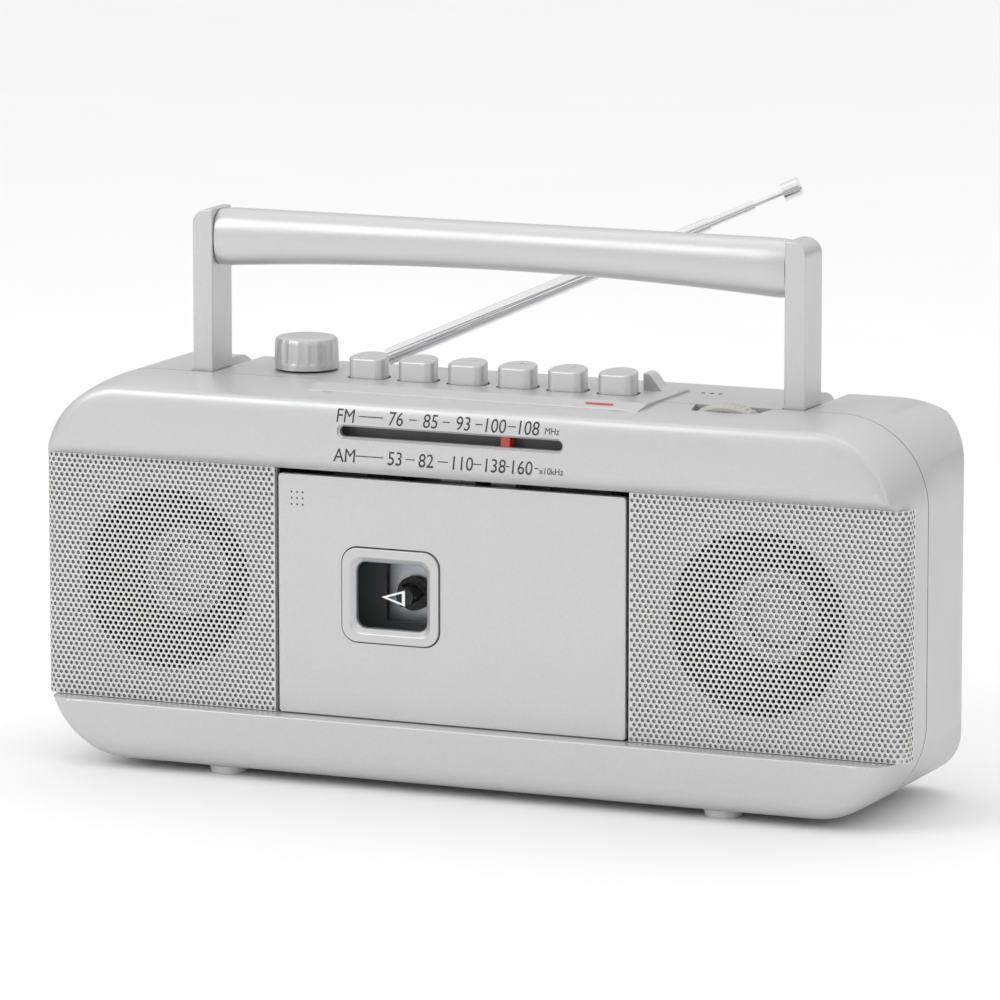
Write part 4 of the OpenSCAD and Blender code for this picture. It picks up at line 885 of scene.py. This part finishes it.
def dial():
    plate_piece = refined("dial_backplate", "dial_backplate", M["well"], 0.1)
    settle(plate_piece, "body", "grey_plastic", "dial_backplate")
    lo, hi = span("dial_pointer")
    body = next(b for b, nodes in frame["record"]["behaviour"]["bodies"].items() if "dial_pointer" in nodes)
    foot = span("dial_backplate")[0].z
    outline = round_outline(lo.x, hi.x, foot + 2.8, foot + 8.1, 0.5, 3)
    needle = plate("pointer_needle", outline, NOSE_Y + 1.9, NOSE_Y + 3.0, M["red"], 0.3, 3)
    settle(needle, body, "red_plastic")


# ---------------------------------------------------------------- speakers and the rest

def speakers():
    for side in ("left", "right"):
        lo, hi = span(side + "_speaker_cone")
        x, z, y = (lo.x + hi.x) / 2, (lo.z + hi.z) / 2, lo.y
        profile = [(34.3, y + 0.6), (34.3, y + 0.1), (32.5, y + 0.1), (30.6, y - 0.5), (29.0, y - 0.6),
                   (27.4, y + 0.2), (26.4, y + 1.4), (16.2, y + 13.0), (12.3, y + 15.6), (10, y + 16.0),
                   (10, y + 16.8), (15, y + 15.6), (26.6, y + 2.6), (28.6, y + 0.8)]
        rings = [[(x + r * math.cos(TAU * k / 96), t, z + r * math.sin(TAU * k / 96)) for k in range(96)]
                 for r, t in profile]
        cone = loft(side + "_cone", rings, M["paper"], 30, closed=True)
        settle(cone, "body", "cone_paper", side + "_speaker_cone")
        cap = [(12.1, y + 15.4), (12.1, y + 14.6), (11.8, y + 14.0)]
        cap += [(11.8 * math.cos(t), y + 14.0 - 4.2 * math.sin(t))
                for t in (math.pi / 2 * k / 12 for k in range(1, 12))]
        cap += [(0.4, y + 9.78)]
        dome = lathe(side + "_dust_cap", cap, (x, 0, z), (0, 1, 0), M["dust_cap"], 72)
        settle(dome, "body", "chrome")
        ring = [(16.1, y + 13.4), (16.1, y + 12.2), (15.5, y + 11.9), (14.9, y + 12.2), (14.9, y + 13.8)]
        settle(lathe(side + "_cone_ring", ring, (x, 0, z), (0, 1, 0), M["dust_cap"], 72), "body", "chrome")


PLAIN = {"volume_control": "grey", "tuning_capacitor": "cream", "key_frame": "grey",
         "door_hinge_pins": "steel",
         "left_speaker_frame": "grey", "right_speaker_frame": "grey", "left_speaker_magnet": "ferrite",
         "right_speaker_magnet": "ferrite", "deck_chassis": "steel", "motor": "steel",
         "motor_pulley": "brass",
         "drive_belt": "rubber", "flywheel": "brass", "takeup_spindle": "black", "supply_spindle": "black",
         "head_plate": "steel", "tape_heads": "steel", "pinch_roller": "rubber", "main_board": "board",
         "ferrite_rod": "ferrite", "transformer": "steel", "battery_contacts": "steel",
         "dial_pointer": "red",
         "casing_screws": "steel"}
REFINED = {"feet": ("pale", "grey_plastic"), "battery_door": ("casing", "casing"),
           "ac_inlet": ("black", "black_plastic"), "headphone_jack": ("black", "black_plastic"),
           "function_switch": ("black", "black_plastic"), "microphone": ("black", "black_plastic")}


def other_nodes():
    bodies = frame["record"]["behaviour"]["bodies"]
    for node, name in PLAIN.items():
        mesh = frame["nodes"][node].data
        mesh.materials.clear()
        mesh.materials.append(M[name])
    for node, (name, slot) in REFINED.items():
        body = next(b for b, nodes in bodies.items() if node in nodes)
        settle(refined(node, node, M[name], 0.25), body, slot, node)


# ---------------------------------------------------------------- camera, light and floor

def set_stage():
    mesh = bpy.data.meshes.new("floor")
    half = 60.0
    corners = [(-half, -half, 0), (half, -half, 0), (half, half, 0), (-half, half, 0)]
    mesh.from_pydata(corners, [], [(0, 1, 2, 3)])
    floor = bpy.data.objects.new("floor", mesh)
    bpy.context.scene.collection.objects.link(floor)
    mat, shader = node_material("floor", (0.93, 0.93, 0.93), 0, 0.8)
    cloud = texture(mat, "ShaderNodeTexNoise", 8, Detail=3.0)
    vary(mat, shader, "Base Color", cloud, (0.925,) * 3, (0.935,) * 3)
    mesh.materials.append(mat)
    world = bpy.data.worlds.new("studio")
    bpy.context.scene.world = world
    world.use_nodes = True
    tree = world.node_tree
    back = tree.nodes["Background"]
    back.inputs["Strength"].default_value = WORLD_LIGHT
    coords = tree.nodes.new("ShaderNodeTexCoord")
    split = tree.nodes.new("ShaderNodeSeparateXYZ")
    ramp = tree.nodes.new("ShaderNodeValToRGB")
    tree.links.new(coords.outputs["Generated"], split.inputs[0])
    tree.links.new(split.outputs["Z"], ramp.inputs["Fac"])
    stops = ((0.0, 0.42), (0.10, 0.36), (0.30, 0.70), (0.62, 1.0), (1.0, 0.95))
    while len(ramp.color_ramp.elements) < len(stops):
        ramp.color_ramp.elements.new(0.5)
    for element, (place, value) in zip(ramp.color_ramp.elements, stops):
        element.position, element.color = place, (value, value, value, 1)
    tree.links.new(ramp.outputs["Color"], back.inputs["Color"])
    seen = tree.nodes.new("ShaderNodeBackground")
    seen.inputs["Strength"].default_value = 1.0
    seen.inputs["Color"].default_value = (1, 1, 1, 1)
    path = tree.nodes.new("ShaderNodeLightPath")
    mix = tree.nodes.new("ShaderNodeMixShader")
    tree.links.new(path.outputs["Is Camera Ray"], mix.inputs[0])
    tree.links.new(back.outputs[0], mix.inputs[1])
    tree.links.new(seen.outputs[0], mix.inputs[2])
    tree.links.new(mix.outputs[0], tree.nodes["World Output"].inputs["Surface"])
    area("key_light", (-1.1, -1.5, 1.1), (0, 0, 0.08), 1.1, 9)
    area("fill_light", (1.5, -1.1, 0.5), (0, 0, 0.08), 0.8, 1.0)
    area("top_light", (0.0, 0.2, 1.7), (0, 0, 0.1), 1.4, 3)


def area(name, place, target, size, power):
    light = bpy.data.lights.new(name, "AREA")
    light.shape = "SQUARE"
    light.size = size
    light.energy = power
    obj = bpy.data.objects.new(name, light)
    obj.location = place
    obj.rotation_mode = "QUATERNION"
    obj.rotation_quaternion = (Vector(target) - Vector(place)).to_track_quat("-Z", "Y")
    bpy.context.scene.collection.objects.link(obj)


def set_camera():
    turn, height, reach = math.radians(23.500342), math.radians(9.57048), 2514.2907
    target = Vector((-4.176, 3.0, 96.962))
    back = Vector((math.sin(turn) * math.cos(height), -math.cos(turn) * math.cos(height), math.sin(height)))
    cam = bpy.data.cameras.new("camera")
    cam.lens, cam.sensor_width = 260.94, 36
    cam.clip_start, cam.clip_end = 0.05, 50
    obj = bpy.data.objects.new("camera", cam)
    obj.location = (target + back * reach) * MM
    obj.rotation_mode = "QUATERNION"
    obj.rotation_quaternion = (-back).to_track_quat("-Z", "Y")
    bpy.context.scene.collection.objects.link(obj)
    bpy.context.scene.camera = obj
    bpy.context.scene.view_settings.view_transform = "Standard"


# ---------------------------------------------------------------- the whole

M = make_materials()
CUTTER = M["black"]
set_camera()
set_stage()
casing_front()
casing_rear()
grille_sheet("grille_left", "left_grille", -1)
grille_sheet("grille_right", "right_grille", 1)
cassette_door()
cassette_pocket()
for key_node in KEYS:
    key(key_node)
key_panel()
volume_knob()
tuning_wheel()
microphone()
handle()
antenna()
dial()
dial_scale()
speakers()
other_nodes()
